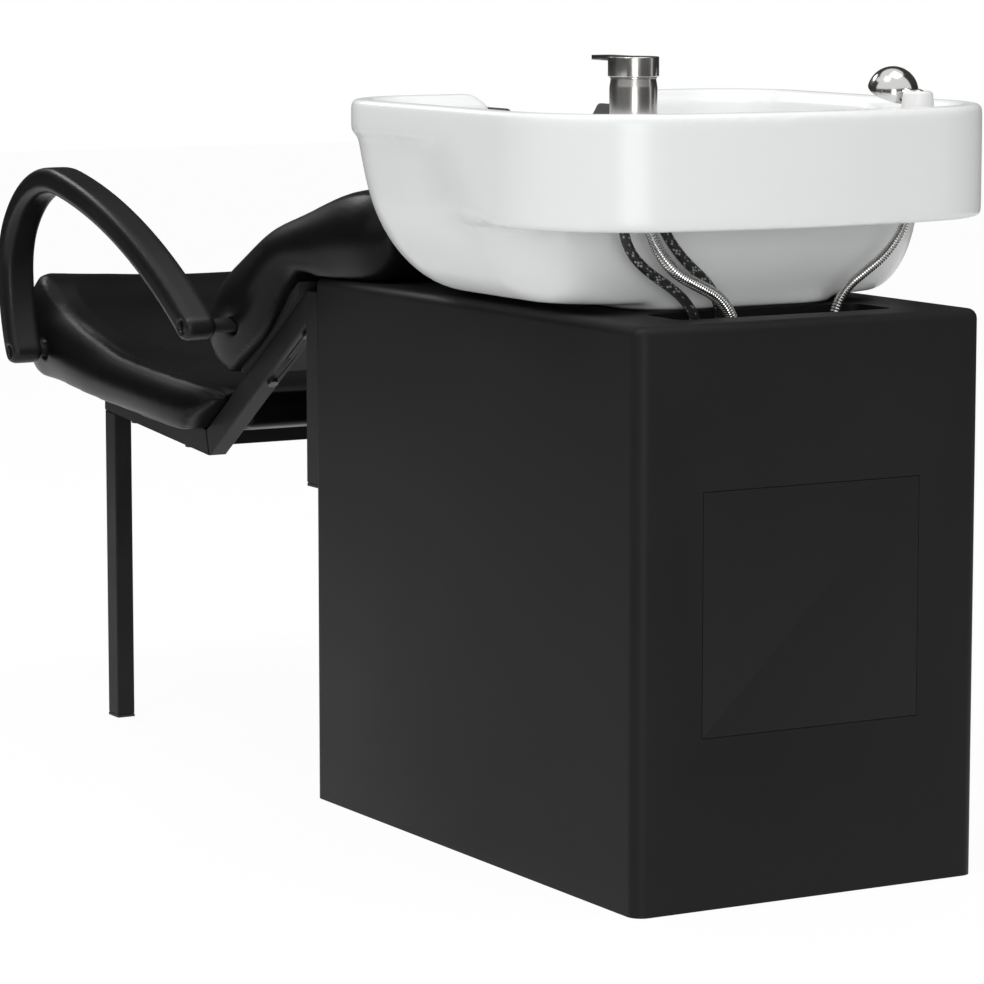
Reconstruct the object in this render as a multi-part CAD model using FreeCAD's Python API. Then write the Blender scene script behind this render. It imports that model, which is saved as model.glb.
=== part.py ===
import FreeCAD, Part
import math
import os

# A backwash unit: a fixed reclining seat joined to a plumbing cabinet that carries a ceramic basin.
# Millimetres, +Z up, the sitter faces -Y and their left hand is at +X.
# The origin is on the floor, under the middle of the unit.
V = FreeCAD.Vector
X_AXIS = V(1, 0, 0)
Y_AXIS = V(0, 1, 0)
Z_AXIS = V(0, 0, 1)

# Clearances
SOFT_GAP = 0.3
SLIDE_GAP = 0.3
HOLE_GAP = 0.5

# Cabinet
CABINET_WIDTH = 400.0
CABINET_DEPTH = 667.0
CABINET_HEIGHT = 570.0
CABINET_REAR = 675.0
CABINET_WALL = 12.0
CABINET_EDGE = 15.0
CABINET_TOP_EDGE = 10.0
CABINET_FRONT = CABINET_REAR - CABINET_DEPTH
BOARD_THICK = 18.0
BOARD_WIDTH = 300.0
BOARD_LENGTH = 330.0
BOARD_SETBACK = 12.0

# Hose slot in the cabinet top
SLOT_WIDTH = 250.0
SLOT_LENGTH = 68.0
SLOT_REAR_MARGIN = 45.0
SLOT_CORNER = 12.0
SLOT_REAR = CABINET_REAR - SLOT_REAR_MARGIN
SLOT_FRONT = SLOT_REAR - SLOT_LENGTH

# Service panel in the cabinet rear
PANEL_WIDTH = 252.0
PANEL_HEIGHT = 240.0
PANEL_BOTTOM = 169.0
PANEL_THICK = 6.0
PANEL_GAP = 0.6
PANEL_LEDGE = 12.0
MAGNET_DIAMETER = 8.0
MAGNET_DEPTH = 3.0

# Basin rim, apron and hull
BASIN_HEIGHT = 199.0
RIM_HALF = 268.0
RIM_OVERHANG = 10.0
RIM_SETBACK = 147.0
RIM_FRONT_RADIUS = 97.0
RIM_CORNER_RADIUS = 140.0
RIM_REAR_RADIUS = 700.0
RIM_LIP = 34.0
RIM_ROUND = 5.0
RIM_WIDTH = 22.0
DECK_DROP = 9.0
APRON_DEPTH = 112.0
APRON_WALL = 16.0
APRON_REACH = 170.0
APRON_FADE = 110.0
APRON_FADE_STEP = 20.0
FOOT_HALF = 125.0
FOOT_LENGTH_SHARE = 0.613
FOOT_SLOT_GAP = 2.0
FOOT_HEIGHT = 8.0
FOOT_CORNER = 60.0
BASIN_BOLT_HALF = 90.0
BASIN_BOLT_INSET = 60.0
GASKET_THICK = 1.5
BOWL_RISE = 28.0
DRAIN_SHARE = 0.5849
RIM_TOP = CABINET_HEIGHT + BASIN_HEIGHT
RIM_REAR = CABINET_REAR + RIM_OVERHANG
RIM_FRONT = CABINET_FRONT + RIM_SETBACK
RIM_LENGTH = RIM_REAR - RIM_FRONT
DECK_TOP = RIM_TOP - DECK_DROP
LIP_BOTTOM = RIM_TOP - RIM_LIP
APRON_BOTTOM = RIM_TOP - APRON_DEPTH
APRON_END = RIM_REAR - APRON_REACH
FOOT_LENGTH = RIM_LENGTH * FOOT_LENGTH_SHARE
FOOT_REAR = SLOT_FRONT - FOOT_SLOT_GAP
FOOT_BOTTOM = CABINET_HEIGHT + GASKET_THICK
HULL_BOTTOM = FOOT_BOTTOM + FOOT_HEIGHT - 1.0
BOWL_FLOOR = CABINET_HEIGHT + BOWL_RISE
DRAIN_Y = RIM_REAR - RIM_LENGTH * DRAIN_SHARE

# Hull and bowl sections on a rim of this length: height share, distances inside the rim at the side,
# front and rear, and the front and rear corner radii. Other rims keep the deck and scale the rest.
LEVELS_LENGTH = 530.0
DECK_DEPTH = 117.0
HULL_LEVELS = (
    (0.00, 73, 80, 128, 110, 78),
    (0.08, 48, 59, 124, 110, 80),
    (0.27, 26, 38, 120, 105, 82),
    (0.52, 14, 20, 118, 100, 84),
    (0.78, 9, 9, 117, 97, 86),
    (1.00, 5, 4, 117, 95, 87),
)
BOWL_LEVELS = (
    (0.00, 150, 150, 225, 60, 55),
    (0.04, 103, 110, 205, 90, 80),
    (0.14, 65, 75, 185, 100, 110),
    (0.33, 46, 52, 165, 95, 115),
    (0.64, 36, 38, 156, 85, 115),
    (1.00, 30, 30, 150, 75, 115),
)

# Neck notch and its rubber rest
NOTCH_RADIUS = 88.0
NOTCH_DEPTH = 67.0
NOTCH_SHOULDER = 20.0
NECK_PAD = 7.0
NECK_PAD_LENGTH = 66.0
NECK_PAD_LEAD = 7.0
NECK_PAD_DROP = 14.0
NOTCH_BOTTOM = RIM_TOP - NOTCH_DEPTH
NECK_PAD_FRONT = RIM_FRONT - NECK_PAD_LEAD
NECK_PAD_TOP = RIM_TOP - NECK_PAD_DROP

# Waste
DRAIN_BORE = 46.0
FLANGE_DIAMETER = 70.0
FLANGE_THICK = 3.0
TAIL_DIAMETER = 44.0
TAIL_WALL = 2.5
TAIL_LENGTH = 118.0
WASTE_NUT_DIAMETER = 66.0
WASTE_NUT_HEIGHT = 14.0
SEAL_THICK = 3.0
STRAINER_DIAMETER = 54.0
STRAINER_THICK = 3.0
STRAINER_HOLE = 5.0
STRAINER_KNOB = 12.0
TRAP_DIAMETER = 64.0
TRAP_BODY_HEIGHT = 60.0
TRAP_CUP_HEIGHT = 85.0
TRAP_WALL = 3.0
WASTE_PIPE_DIAMETER = 40.0
WASTE_PIPE_WALL = 2.5
WASTE_PIPE_REACH = 150.0
WASTE_PIPE_BEND = 45.0
WASTE_PIPE_FLOOR_GAP = 20.0

# Mixer tap
MIXER_X = 157.0
MIXER_SETBACK = 90.0
MIXER_HOLE = 36.0
MIXER_DIAMETER = 46.0
MIXER_BODY_HEIGHT = 30.0
MIXER_TAPER_HEIGHT = 8.5
MIXER_TAPER_DIAMETER = 43.5
MIXER_GROOVE = 1.5
CARTRIDGE_DIAMETER = 35.0
CARTRIDGE_HEIGHT = 24.0
SPINDLE_DIAMETER = 12.0
SPINDLE_POST = 8.0
CAP_DIAMETER = 49.0
CAP_HEIGHT = 19.0
CAP_WALL = 3.0
CAP_SEAT = 2.0
LEVER_REACH = 62.0
LEVER_WIDTH = 24.0
LEVER_THICK = 4.5
CLAMP_RADIUS = 25.0
CLAMP_THICK = 4.0
STUD_DIAMETER = 6.0
STUD_OFFSET = 12.5
STUD_LENGTH = 62.0
MIXER_Y = RIM_REAR - MIXER_SETBACK

# Hand shower and its holder
SHOWER_X = -157.0
SHOWER_SETBACK = 65.0
HOLDER_DIAMETER = 34.0
HOLDER_TOP_DIAMETER = 29.0
HOLDER_HEIGHT = 23.0
HOLDER_ROUND = 4.0
HOLDER_SHANK = 30.0
HOLDER_SHANK_LENGTH = 44.0
HOLDER_NUT_DIAMETER = 44.0
HOLDER_NUT_HEIGHT = 8.0
SHOWER_STEM = 18.0
SHOWER_STEM_DEPTH = 29.0
SHOWER_HEAD_DIAMETER = 51.0
SHOWER_HEAD_HEIGHT = 46.0
SHOWER_HEAD_FORWARD = 43.0
SHOWER_NECK = 14.0
SHOWER_FACE_DIAMETER = 38.0
SHOWER_FACE_THICK = 3.0
SHOWER_ELBOW_DROP = 7.0
SHOWER_TILT = 64.0
SHOWER_NUT_DIAMETER = 15.0
SHOWER_NUT_LENGTH = 20.0
SHOWER_Y = RIM_REAR - SHOWER_SETBACK
SHOWER_HEAD_TOP = DECK_TOP + SHOWER_HEAD_HEIGHT
ELBOW_Z = DECK_TOP + HOLDER_HEIGHT - SHOWER_ELBOW_DROP

# Hoses
SUPPLY_DIAMETER = 10.0
OUTLET_DIAMETER = 13.0
SHOWER_HOSE_DIAMETER = 10.0
HOSE_WALL = 2.0
SHORTEST_EDGE = 0.05
FUSE_TOLERANCE = 0.001
RIB_COUNT = 30
RIB_PITCH = 4.5
RIB_DEPTH = 0.8
OUTLET_RIB_START = 105.0
SHOWER_RIB_START = 73.0
UNION_FLATS = 24.0
UNION_LENGTH = 24.0
UNION_BORE = 19.0
UNION_BORE_DEPTH = 12.0
COUPLING_DIAMETER = 18.0
COUPLING_LENGTH = 30.0

# Seat frame of rectangular tube
TUBE_WIDTH = 22.0
TUBE_HEIGHT = 28.0
TUBE_WALL = 2.0
FRAME_INSET = 7.0
CORNER_AHEAD = 279.0
CORNER_BELOW = 196.0
SEAT_SLOPE = 5.0
BACK_SLOPE = 35.0
LEG_AHEAD = 275.0
BAR_BELOW = 32.0
BAR_ABOVE_RAIL = 3.0
CAP_THICK = 3.0
CAP_PLUG = 12.0
CROSS_TUBE = 20.0
CROSS_FRONT_AHEAD = 174.0
CROSS_REAR_AHEAD = 29.0
BOLT_DIAMETER = 8.0
BOLT_HEAD_DIAMETER = 13.0
BOLT_HEAD_HEIGHT = 5.0
BAR_BOLT_LOW = 11.0
BAR_BOLT_SPACING = 115.0
BAR_BOLT_MARGIN = 1.5
BACK_PLATE_THICK = 4.0
BACK_PLATE_WIDTH = 50.0
BACK_PLATE_MARGIN = 30.0
FRAME_OUTER = CABINET_WIDTH / 2 - FRAME_INSET
CORNER_Y = CABINET_FRONT - CORNER_AHEAD
CORNER_Z = CABINET_HEIGHT - CORNER_BELOW
LEG_FRONT = CORNER_Y - LEG_AHEAD
BAR_BOTTOM = CORNER_Z - BAR_BELOW
CROSS_FRONT_Y = CORNER_Y - CROSS_FRONT_AHEAD
CROSS_REAR_Y = CORNER_Y - CROSS_REAR_AHEAD
BAR_BOLT_HEIGHTS = (CORNER_Z + BAR_BOLT_LOW, CORNER_Z + BAR_BOLT_LOW + BAR_BOLT_SPACING)

# Seat and back boards, from the rails' corner and their outer sides
PLY_THICK = 12.0
SEAT_BOARD_BESIDE = 17.0
SEAT_BOARD_AHEAD = 369.0
SEAT_BOARD_GAP = 11.0
BACK_BOARD_BESIDE = 7.0
BACK_BOARD_START = 106.0
BACK_BOARD_END = 247.0
SEAT_SCREW_REAR = 50.0
SEAT_SCREW_FRONT = 40.0
BACK_SCREW_LOW = 25.0
BACK_SCREW_HIGH = 30.0
SCREW_DIAMETER = 6.0
SCREW_HEAD = 12.0
SCREW_HEAD_HEIGHT = 4.0
SEAT_BOARD_HALF = FRAME_OUTER + SEAT_BOARD_BESIDE
SEAT_BOARD_FRONT = CORNER_Y - SEAT_BOARD_AHEAD
SEAT_BOARD_REAR = CORNER_Y - SEAT_BOARD_GAP
BACK_BOARD_HALF = FRAME_OUTER + BACK_BOARD_BESIDE
BACK_BOARD_LOW = CORNER_Y + BACK_BOARD_START
BACK_BOARD_HIGH = CORNER_Y + BACK_BOARD_END

# Armrests and their fixings, with the loop's points behind and above the rails' corner
ARM_BESIDE = 102.0
ARM_WIDTH = 40.0
ARM_THICK = 30.0
ARM_ROUND = 9.0
ARM_COUNTERBORE = 15.0
ARM_COUNTERBORE_DEPTH = 10.0
ARM_BLOCK_WIDTH = 30.0
ARM_BLOCK_LENGTH = 60.0
ARM_BLOCK_HEIGHT = 42.0
ARM_SPACER_DIAMETER = 16.0
ARM_REAR = (147.0, 134.0)
ARM_LOOP = ((-24.0, 226.0), (-191.0, 273.0), (-325.0, 222.0), (-346.0, 161.0))
ARM_FRONT = (-326.0, 66.0)
ARM_OUTER = FRAME_OUTER + ARM_BESIDE

# Cushion sections, front to rear along the seat and low to high along the back
SEAT_SECTIONS = (
    # place behind the corner, bottom above the board plane, side top and middle top above the
    # corner, width beside the frame
    (-414.0, 34.0, 131.0, 125.0, 29.0),
    (-407.0, 13.0, 149.0, 138.0, 43.0),
    (-384.0, 1.0, 149.0, 137.0, 53.0),
    (-334.0, 0.0, 124.0, 115.0, 57.0),
    (-254.0, 0.0, 96.0, 90.0, 57.0),
    (-154.0, 0.0, 76.0, 72.0, 54.0),
    (-74.0, 0.0, 68.0, 65.0, 50.0),
    (-21.0, 0.0, 62.0, 60.0, 45.0),
    (21.0, 2.0, 57.0, 56.0, 37.0),
    (63.0, 14.0, 42.0, 41.0, 19.0),
)
BACK_SECTIONS = (
    # low point behind and above the corner (None: on the rails or the cabinet), high point behind
    # and above it, width beside the frame, crown
    (87.0, 84.0, 69.0, 122.0, 11.0, 3.0),
    (101.0, 78.0, 57.0, 162.0, 35.0, 8.0),
    (136.0, None, 84.0, 190.0, 43.0, 12.0),
    (196.0, None, 150.0, 223.5, 42.0, 13.0),
    (251.0, None, 211.0, 250.0, 35.0, 13.0),
    (296.0, None, 276.0, 271.5, 25.0, 12.0),
    (366.0, None, 363.0, 292.0, 14.0, 10.0),
    (403.0, 201.0, 410.0, 286.0, 3.0, 7.0),
    (421.0, 220.0, 424.0, 267.0, -17.0, 4.0),
)
SEAT_SIDE_BULGE = 14.0
SEAT_EDGE_ROUND = 24.0
BACK_SIDE_BULGE = 16.0
BACK_EDGE_ROUND = 26.0


def box(x0, x1, y0, y1, z0, z1):
    return Part.makeBox(x1 - x0, y1 - y0, z1 - z0, V(x0, y0, z0))


def cylinder(diameter, start, length, axis=Z_AXIS):
    return Part.makeCylinder(diameter / 2, length, start, axis)


def ring(outer, inner, start, length, axis=Z_AXIS):
    margin = axis * 1.0
    return cylinder(outer, start, length, axis).cut(cylinder(inner, start - margin, length + 2, axis))


def arc_edge(a, b, c):
    return Part.Arc(a, b, c).toShape()


def line_edge(a, b):
    return Part.LineSegment(a, b).toShape()


def side_prism(points, x0, x1):
    """A prism along X over a side outline given as (y, z) points."""
    corners = [V(x0, y, z) for y, z in points]
    face = Part.Face(Part.makePolygon(corners + corners[:1]))
    return face.extrude(V(x1 - x0, 0, 0))


def mirrored(shape):
    return shape.mirror(V(0, 0, 0), X_AXIS)


def hexagon_prism(flats, start, length):
    radius = flats / math.sqrt(3)
    points = [
        start + V(radius * math.cos(math.pi * i / 3), radius * math.sin(math.pi * i / 3), 0)
        for i in range(6)
    ]
    return Part.Face(Part.makePolygon(points + points[:1])).extrude(V(0, 0, length))


# Heights of the seat frame's upper edges
def seat_plane(y):
    return CORNER_Z + (CORNER_Y - y) * math.tan(math.radians(SEAT_SLOPE))


def back_plane(y):
    return CORNER_Z + (y - CORNER_Y) * math.tan(math.radians(BACK_SLOPE))


def seat_drop(depth):
    return depth / math.cos(math.radians(SEAT_SLOPE))


def back_drop(depth):
    return depth / math.cos(math.radians(BACK_SLOPE))


SEAT_DROP = seat_drop(TUBE_HEIGHT)
BACK_DROP = back_drop(TUBE_HEIGHT)
SEAT_PLY_RISE = seat_drop(PLY_THICK)
BACK_PLY_RISE = back_drop(PLY_THICK)
FRAME_INNER = FRAME_OUTER - TUBE_WIDTH
FRAME_MIDDLE = FRAME_OUTER - TUBE_WIDTH / 2
BAR_BOLT_X = min(FRAME_MIDDLE, CABINET_WIDTH / 2 - CABINET_WALL - BOLT_HEAD_DIAMETER / 2 - BAR_BOLT_MARGIN)
BAR_FRONT = CABINET_FRONT - TUBE_HEIGHT
BAR_TOP = back_plane(BAR_FRONT) + BAR_ABOVE_RAIL
LEG_REAR = LEG_FRONT + TUBE_HEIGHT
BOARD_TOP = CABINET_HEIGHT - CABINET_WALL
BOARD_BOTTOM = BOARD_TOP - BOARD_THICK
BOARD_REAR = SLOT_FRONT - BOARD_SETBACK
DRAIN_CLEARANCE = WASTE_NUT_DIAMETER + 4.0
BASIN_BOLT_PLACES = [(x, FOOT_REAR - BASIN_BOLT_INSET) for x in (-BASIN_BOLT_HALF, BASIN_BOLT_HALF)]


# Cabinet
def panel_outline(grow):
    half = PANEL_WIDTH / 2 + grow
    return -half, half, PANEL_BOTTOM - grow, PANEL_BOTTOM + PANEL_HEIGHT + grow


def cabinet_shell():
    half = CABINET_WIDTH / 2
    outer = box(-half, half, CABINET_FRONT, CABINET_REAR, 0, CABINET_HEIGHT)
    upright = [e for e in outer.Edges if abs(e.tangentAt(e.FirstParameter).z) > 0.9]
    outer = outer.makeFillet(CABINET_EDGE, upright)
    top = [e for e in outer.Edges if e.BoundBox.ZMin > CABINET_HEIGHT - 0.1]
    outer = outer.makeFillet(CABINET_TOP_EDGE, top)
    inside = box(
        -half + CABINET_WALL,
        half - CABINET_WALL,
        CABINET_FRONT + CABINET_WALL,
        CABINET_REAR - CABINET_WALL,
        -1,
        CABINET_HEIGHT - CABINET_WALL,
    )
    drain = cylinder(DRAIN_CLEARANCE, V(0, DRAIN_Y, BOARD_TOP - 1), CABINET_WALL + 2)
    cuts = [inside, hose_slot(), drain]
    x0, x1, z0, z1 = panel_outline(0)
    cuts.append(box(x0, x1, CABINET_REAR - PANEL_THICK, CABINET_REAR + 1, z0, z1))
    x0, x1, z0, z1 = panel_outline(-PANEL_LEDGE)
    cuts.append(box(x0, x1, CABINET_REAR - CABINET_WALL - 1, CABINET_REAR, z0, z1))
    for x, z in magnet_places():
        start = V(x, CABINET_REAR - PANEL_THICK - MAGNET_DEPTH, z)
        cuts.append(cylinder(MAGNET_DIAMETER, start, MAGNET_DEPTH + 1, Y_AXIS))
    for x, y in BASIN_BOLT_PLACES:
        cuts.append(cylinder(BOLT_DIAMETER + HOLE_GAP, V(x, y, BOARD_TOP - 1), CABINET_WALL + 2))
    for x in (-BAR_BOLT_X, BAR_BOLT_X):
        for z in BAR_BOLT_HEIGHTS:
            start = V(x, CABINET_FRONT - 1, z)
            cuts.append(cylinder(BOLT_DIAMETER + HOLE_GAP, start, CABINET_WALL + 2, Y_AXIS))
    return outer.cut(cuts)


def hose_slot():
    half = SLOT_WIDTH / 2
    slot = box(-half, half, SLOT_FRONT, SLOT_REAR, BOARD_TOP - 1, CABINET_HEIGHT + 1)
    corners = [e for e in slot.Edges if abs(e.tangentAt(e.FirstParameter).z) > 0.9]
    return slot.makeFillet(SLOT_CORNER, corners)


def magnet_places():
    x = PANEL_WIDTH / 2 - PANEL_LEDGE / 2
    low = PANEL_BOTTOM + PANEL_LEDGE / 2
    high = PANEL_BOTTOM + PANEL_HEIGHT - PANEL_LEDGE / 2
    return [(-x, low), (x, low), (-x, high), (x, high)]


def access_panel():
    x0, x1, z0, z1 = panel_outline(-PANEL_GAP)
    panel = box(x0, x1, CABINET_REAR - PANEL_THICK, CABINET_REAR, z0, z1)
    corners = [e for e in panel.Edges if abs(e.tangentAt(e.FirstParameter).y) > 0.9]
    return panel.makeFillet(PANEL_GAP, corners)


def panel_magnets():
    depth = CABINET_REAR - PANEL_THICK - MAGNET_DEPTH
    discs = [cylinder(MAGNET_DIAMETER, V(x, depth, z), MAGNET_DEPTH, Y_AXIS) for x, z in magnet_places()]
    return Part.makeCompound(discs)


def basin_board():
    half = BOARD_WIDTH / 2
    board = box(-half, half, BOARD_REAR - BOARD_LENGTH, BOARD_REAR, BOARD_BOTTOM, BOARD_TOP)
    cuts = [cylinder(DRAIN_CLEARANCE, V(0, DRAIN_Y, BOARD_BOTTOM - 1), BOARD_THICK + 2)]
    for x, y in BASIN_BOLT_PLACES:
        cuts.append(cylinder(BOLT_DIAMETER + HOLE_GAP, V(x, y, BOARD_BOTTOM - 1), BOARD_THICK + 2))
    return board.cut(cuts)


# Basin
def basin_outline(z, side, front, rear, front_radius, corner_radius):
    """A closed outline inside the rim: straight front and sides, round corners and a bowed rear."""
    half = RIM_HALF - side
    y_front = RIM_FRONT + front
    y_rear = RIM_REAR - rear
    centre_x = half - corner_radius
    bow_y = y_rear - RIM_REAR_RADIUS
    span = RIM_REAR_RADIUS - corner_radius
    centre_y = bow_y + math.sqrt(span**2 - centre_x**2)
    meet = V(0, bow_y, z) + V(centre_x, centre_y - bow_y, 0) * (RIM_REAR_RADIUS / span)
    turn = math.atan2(centre_y - bow_y, centre_x) / 2
    corner = V(centre_x + corner_radius * math.cos(turn), centre_y + corner_radius * math.sin(turn), z)
    diagonal = front_radius * (1 - math.sqrt(0.5))
    right = (
        V(half - front_radius, y_front, z),
        V(half - diagonal, y_front + diagonal, z),
        V(half, y_front + front_radius, z),
        V(half, centre_y, z),
        corner,
        meet,
    )
    left = [V(-p.x, p.y, p.z) for p in right]
    return Part.Wire([
        line_edge(left[0], right[0]),
        arc_edge(right[0], right[1], right[2]),
        line_edge(right[2], right[3]),
        arc_edge(right[3], right[4], right[5]),
        arc_edge(right[5], V(0, y_rear, z), left[5]),
        arc_edge(left[5], left[4], left[3]),
        line_edge(left[3], left[2]),
        arc_edge(left[2], left[1], left[0]),
    ])


def level_loft(levels, low, high):
    wires = []
    ratio = RIM_LENGTH / LEVELS_LENGTH
    for share, side, front, rear, front_radius, corner_radius in levels:
        wires.append(basin_outline(
            low + share * (high - low),
            side,
            front * ratio,
            DECK_DEPTH + (rear - DECK_DEPTH) * ratio,
            front_radius * ratio,
            corner_radius * ratio,
        ))
    return Part.makeLoft(wires, True, False)


def rim_prism(inset, z0, z1):
    wire = basin_outline(z0, inset, inset, inset, RIM_FRONT_RADIUS - inset, RIM_CORNER_RADIUS - inset)
    return Part.Face(wire).extrude(V(0, 0, z1 - z0))


def basin_hull():
    return level_loft(HULL_LEVELS, HULL_BOTTOM, LIP_BOTTOM)


def basin_apron():
    """The deep skirt under the rim's rear, whose front ends fade into the hull."""
    skirt = rim_prism(0, APRON_BOTTOM, LIP_BOTTOM)
    skirt = skirt.cut(rim_prism(APRON_WALL, APRON_BOTTOM - 1, LIP_BOTTOM + 1))
    end = APRON_END - APRON_FADE
    skirt = skirt.common(box(-RIM_HALF - 1, RIM_HALF + 1, end, RIM_REAR + 1, APRON_BOTTOM, LIP_BOTTOM))
    wedge_points = (
        V(RIM_HALF, APRON_END, APRON_BOTTOM - 1),
        V(RIM_HALF - APRON_FADE_STEP, end - 1, APRON_BOTTOM - 1),
        V(RIM_HALF + APRON_FADE_STEP, end - 1, APRON_BOTTOM - 1),
        V(RIM_HALF + APRON_FADE_STEP, APRON_END, APRON_BOTTOM - 1),
    )
    wedge = Part.Face(Part.makePolygon(wedge_points + wedge_points[:1]))
    wedge = wedge.extrude(V(0, 0, LIP_BOTTOM - APRON_BOTTOM + 2))
    return skirt.cut([wedge, mirrored(wedge), basin_hull()])


def notch_prism():
    """The neck notch: a round bottom that opens through two round shoulders."""
    centre_z = NOTCH_BOTTOM + NOTCH_RADIUS
    shoulder_z = RIM_TOP - NOTCH_SHOULDER
    reach = NOTCH_RADIUS + NOTCH_SHOULDER
    shoulder_x = math.sqrt(reach**2 - (centre_z - shoulder_z) ** 2)
    share = NOTCH_RADIUS / reach
    meet = V(shoulder_x * share, 0, centre_z + (shoulder_z - centre_z) * share)
    turn = (math.atan2(meet.z - shoulder_z, meet.x - shoulder_x) + math.pi / 2) / 2
    middle = V(shoulder_x, 0, shoulder_z) + V(math.cos(turn), 0, math.sin(turn)) * NOTCH_SHOULDER
    top = V(shoulder_x, 0, RIM_TOP)
    above = V(shoulder_x, 0, RIM_TOP + 20)

    def opposite(p):
        return V(-p.x, p.y, p.z)

    wire = Part.Wire([
        line_edge(opposite(above), opposite(top)),
        arc_edge(opposite(top), opposite(middle), opposite(meet)),
        arc_edge(opposite(meet), V(0, 0, NOTCH_BOTTOM), meet),
        arc_edge(meet, middle, top),
        line_edge(top, above),
        line_edge(above, opposite(above)),
    ])
    wire.translate(V(0, RIM_FRONT - NECK_PAD_LENGTH / 2, 0))
    return Part.Face(wire).extrude(V(0, 2 * NECK_PAD_LENGTH, 0))


def foot_plate(z, height, inset):
    half = FOOT_HALF - inset
    plate = box(-half, half, FOOT_REAR - FOOT_LENGTH + inset, FOOT_REAR - inset, z, z + height)
    corners = [e for e in plate.Edges if abs(e.tangentAt(e.FirstParameter).z) > 0.9]
    return plate.makeFillet(FOOT_CORNER - inset, corners)


def basin_cuts():
    """The bowl, the neck notch and all the holes in the ceramic."""
    deck_hole = DECK_TOP - LIP_BOTTOM + 2
    cuts = [
        rim_prism(RIM_WIDTH, DECK_TOP, RIM_TOP + 1),
        level_loft(BOWL_LEVELS, BOWL_FLOOR, DECK_TOP + 0.5),
        notch_prism(),
        cylinder(DRAIN_BORE, V(0, DRAIN_Y, FOOT_BOTTOM - 1), BOWL_FLOOR - FOOT_BOTTOM + 2),
        cylinder(FLANGE_DIAMETER + 1, V(0, DRAIN_Y, BOWL_FLOOR - FLANGE_THICK), FLANGE_THICK + 1),
        cylinder(MIXER_HOLE, V(MIXER_X, MIXER_Y, LIP_BOTTOM - 1), deck_hole),
        cylinder(HOLDER_SHANK + 1, V(SHOWER_X, SHOWER_Y, LIP_BOTTOM - 1), deck_hole),
    ]
    for x, y in BASIN_BOLT_PLACES:
        cuts.append(cylinder(BOLT_DIAMETER + HOLE_GAP, V(x, y, FOOT_BOTTOM - 1), FOOT_HEIGHT + 3))
    return cuts


def basin():
    """The ceramic below its rim: the hull with the bowl in it and the foot."""
    body = basin_hull().fuse(foot_plate(FOOT_BOTTOM, FOOT_HEIGHT, 0))
    return body.cut(basin_cuts()).removeSplitter()


def basin_rim():
    """The ceramic's upper part: a rim round the bowl and the sunk deck behind it."""
    slab = rim_prism(0, LIP_BOTTOM, RIM_TOP)
    slab = slab.makeFillet(RIM_ROUND, [e for e in slab.Edges if e.BoundBox.ZMin > RIM_TOP - 0.1])
    return slab.cut(basin_cuts()).removeSplitter()


def basin_gasket():
    gasket = foot_plate(CABINET_HEIGHT, GASKET_THICK, 6)
    cuts = [cylinder(DRAIN_CLEARANCE, V(0, DRAIN_Y, CABINET_HEIGHT - 1), GASKET_THICK + 2)]
    for x, y in BASIN_BOLT_PLACES:
        cuts.append(cylinder(BOLT_DIAMETER + HOLE_GAP, V(x, y, CABINET_HEIGHT - 1), GASKET_THICK + 2))
    return gasket.cut(cuts)


def basin_bolts():
    bolts = []
    for x, y in BASIN_BOLT_PLACES:
        top = FOOT_BOTTOM + FOOT_HEIGHT
        low = BOARD_BOTTOM - BOLT_HEAD_HEIGHT - 8
        rod = cylinder(BOLT_DIAMETER, V(x, y, low), top - low)
        nut = hexagon_prism(BOLT_HEAD_DIAMETER, V(x, y, BOARD_BOTTOM - BOLT_HEAD_HEIGHT), BOLT_HEAD_HEIGHT)
        bolts.append(rod.fuse(nut))
    return Part.makeCompound(bolts)


def neck_rest():
    """A rubber saddle pressed into the notch."""
    centre = V(0, NECK_PAD_FRONT, NOTCH_BOTTOM + NOTCH_RADIUS)
    outer = NOTCH_RADIUS - SOFT_GAP
    saddle = ring(2 * outer, 2 * (outer - NECK_PAD), centre, NECK_PAD_LENGTH, Y_AXIS)
    low = box(-outer, outer, centre.y, centre.y + NECK_PAD_LENGTH, centre.z - outer, NECK_PAD_TOP)
    return saddle.common(low)


# Waste fittings
def drain_flange():
    start = V(0, DRAIN_Y, BOWL_FLOOR - FLANGE_THICK)
    plate = cylinder(FLANGE_DIAMETER, start, FLANGE_THICK)
    tail = cylinder(TAIL_DIAMETER, start - Z_AXIS * TAIL_LENGTH, TAIL_LENGTH)
    dish = cylinder(STRAINER_DIAMETER + 2 * SLIDE_GAP, start + Z_AXIS * 0.8, FLANGE_THICK)
    low = start - Z_AXIS * (TAIL_LENGTH + 1)
    bore = cylinder(TAIL_DIAMETER - 2 * TAIL_WALL, low, TAIL_LENGTH + FLANGE_THICK + 2)
    return plate.fuse(tail).cut([dish, bore])


def drain_strainer():
    start = V(0, DRAIN_Y, BOWL_FLOOR - FLANGE_THICK + 0.8 + SLIDE_GAP)
    plate = cylinder(STRAINER_DIAMETER, start, STRAINER_THICK)
    knob = cylinder(STRAINER_KNOB, start, STRAINER_THICK + 5)
    holes = []
    for count, radius in ((8, 11.5), (14, 19.0)):
        for i in range(count):
            angle = 2 * math.pi * i / count
            place = start + V(radius * math.cos(angle), radius * math.sin(angle), -1)
            holes.append(cylinder(STRAINER_HOLE, place, STRAINER_THICK + 2))
    return plate.fuse(knob).cut(holes)


def drain_seal():
    return ring(WASTE_NUT_DIAMETER, TAIL_DIAMETER, V(0, DRAIN_Y, FOOT_BOTTOM - SEAL_THICK), SEAL_THICK)


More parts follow.
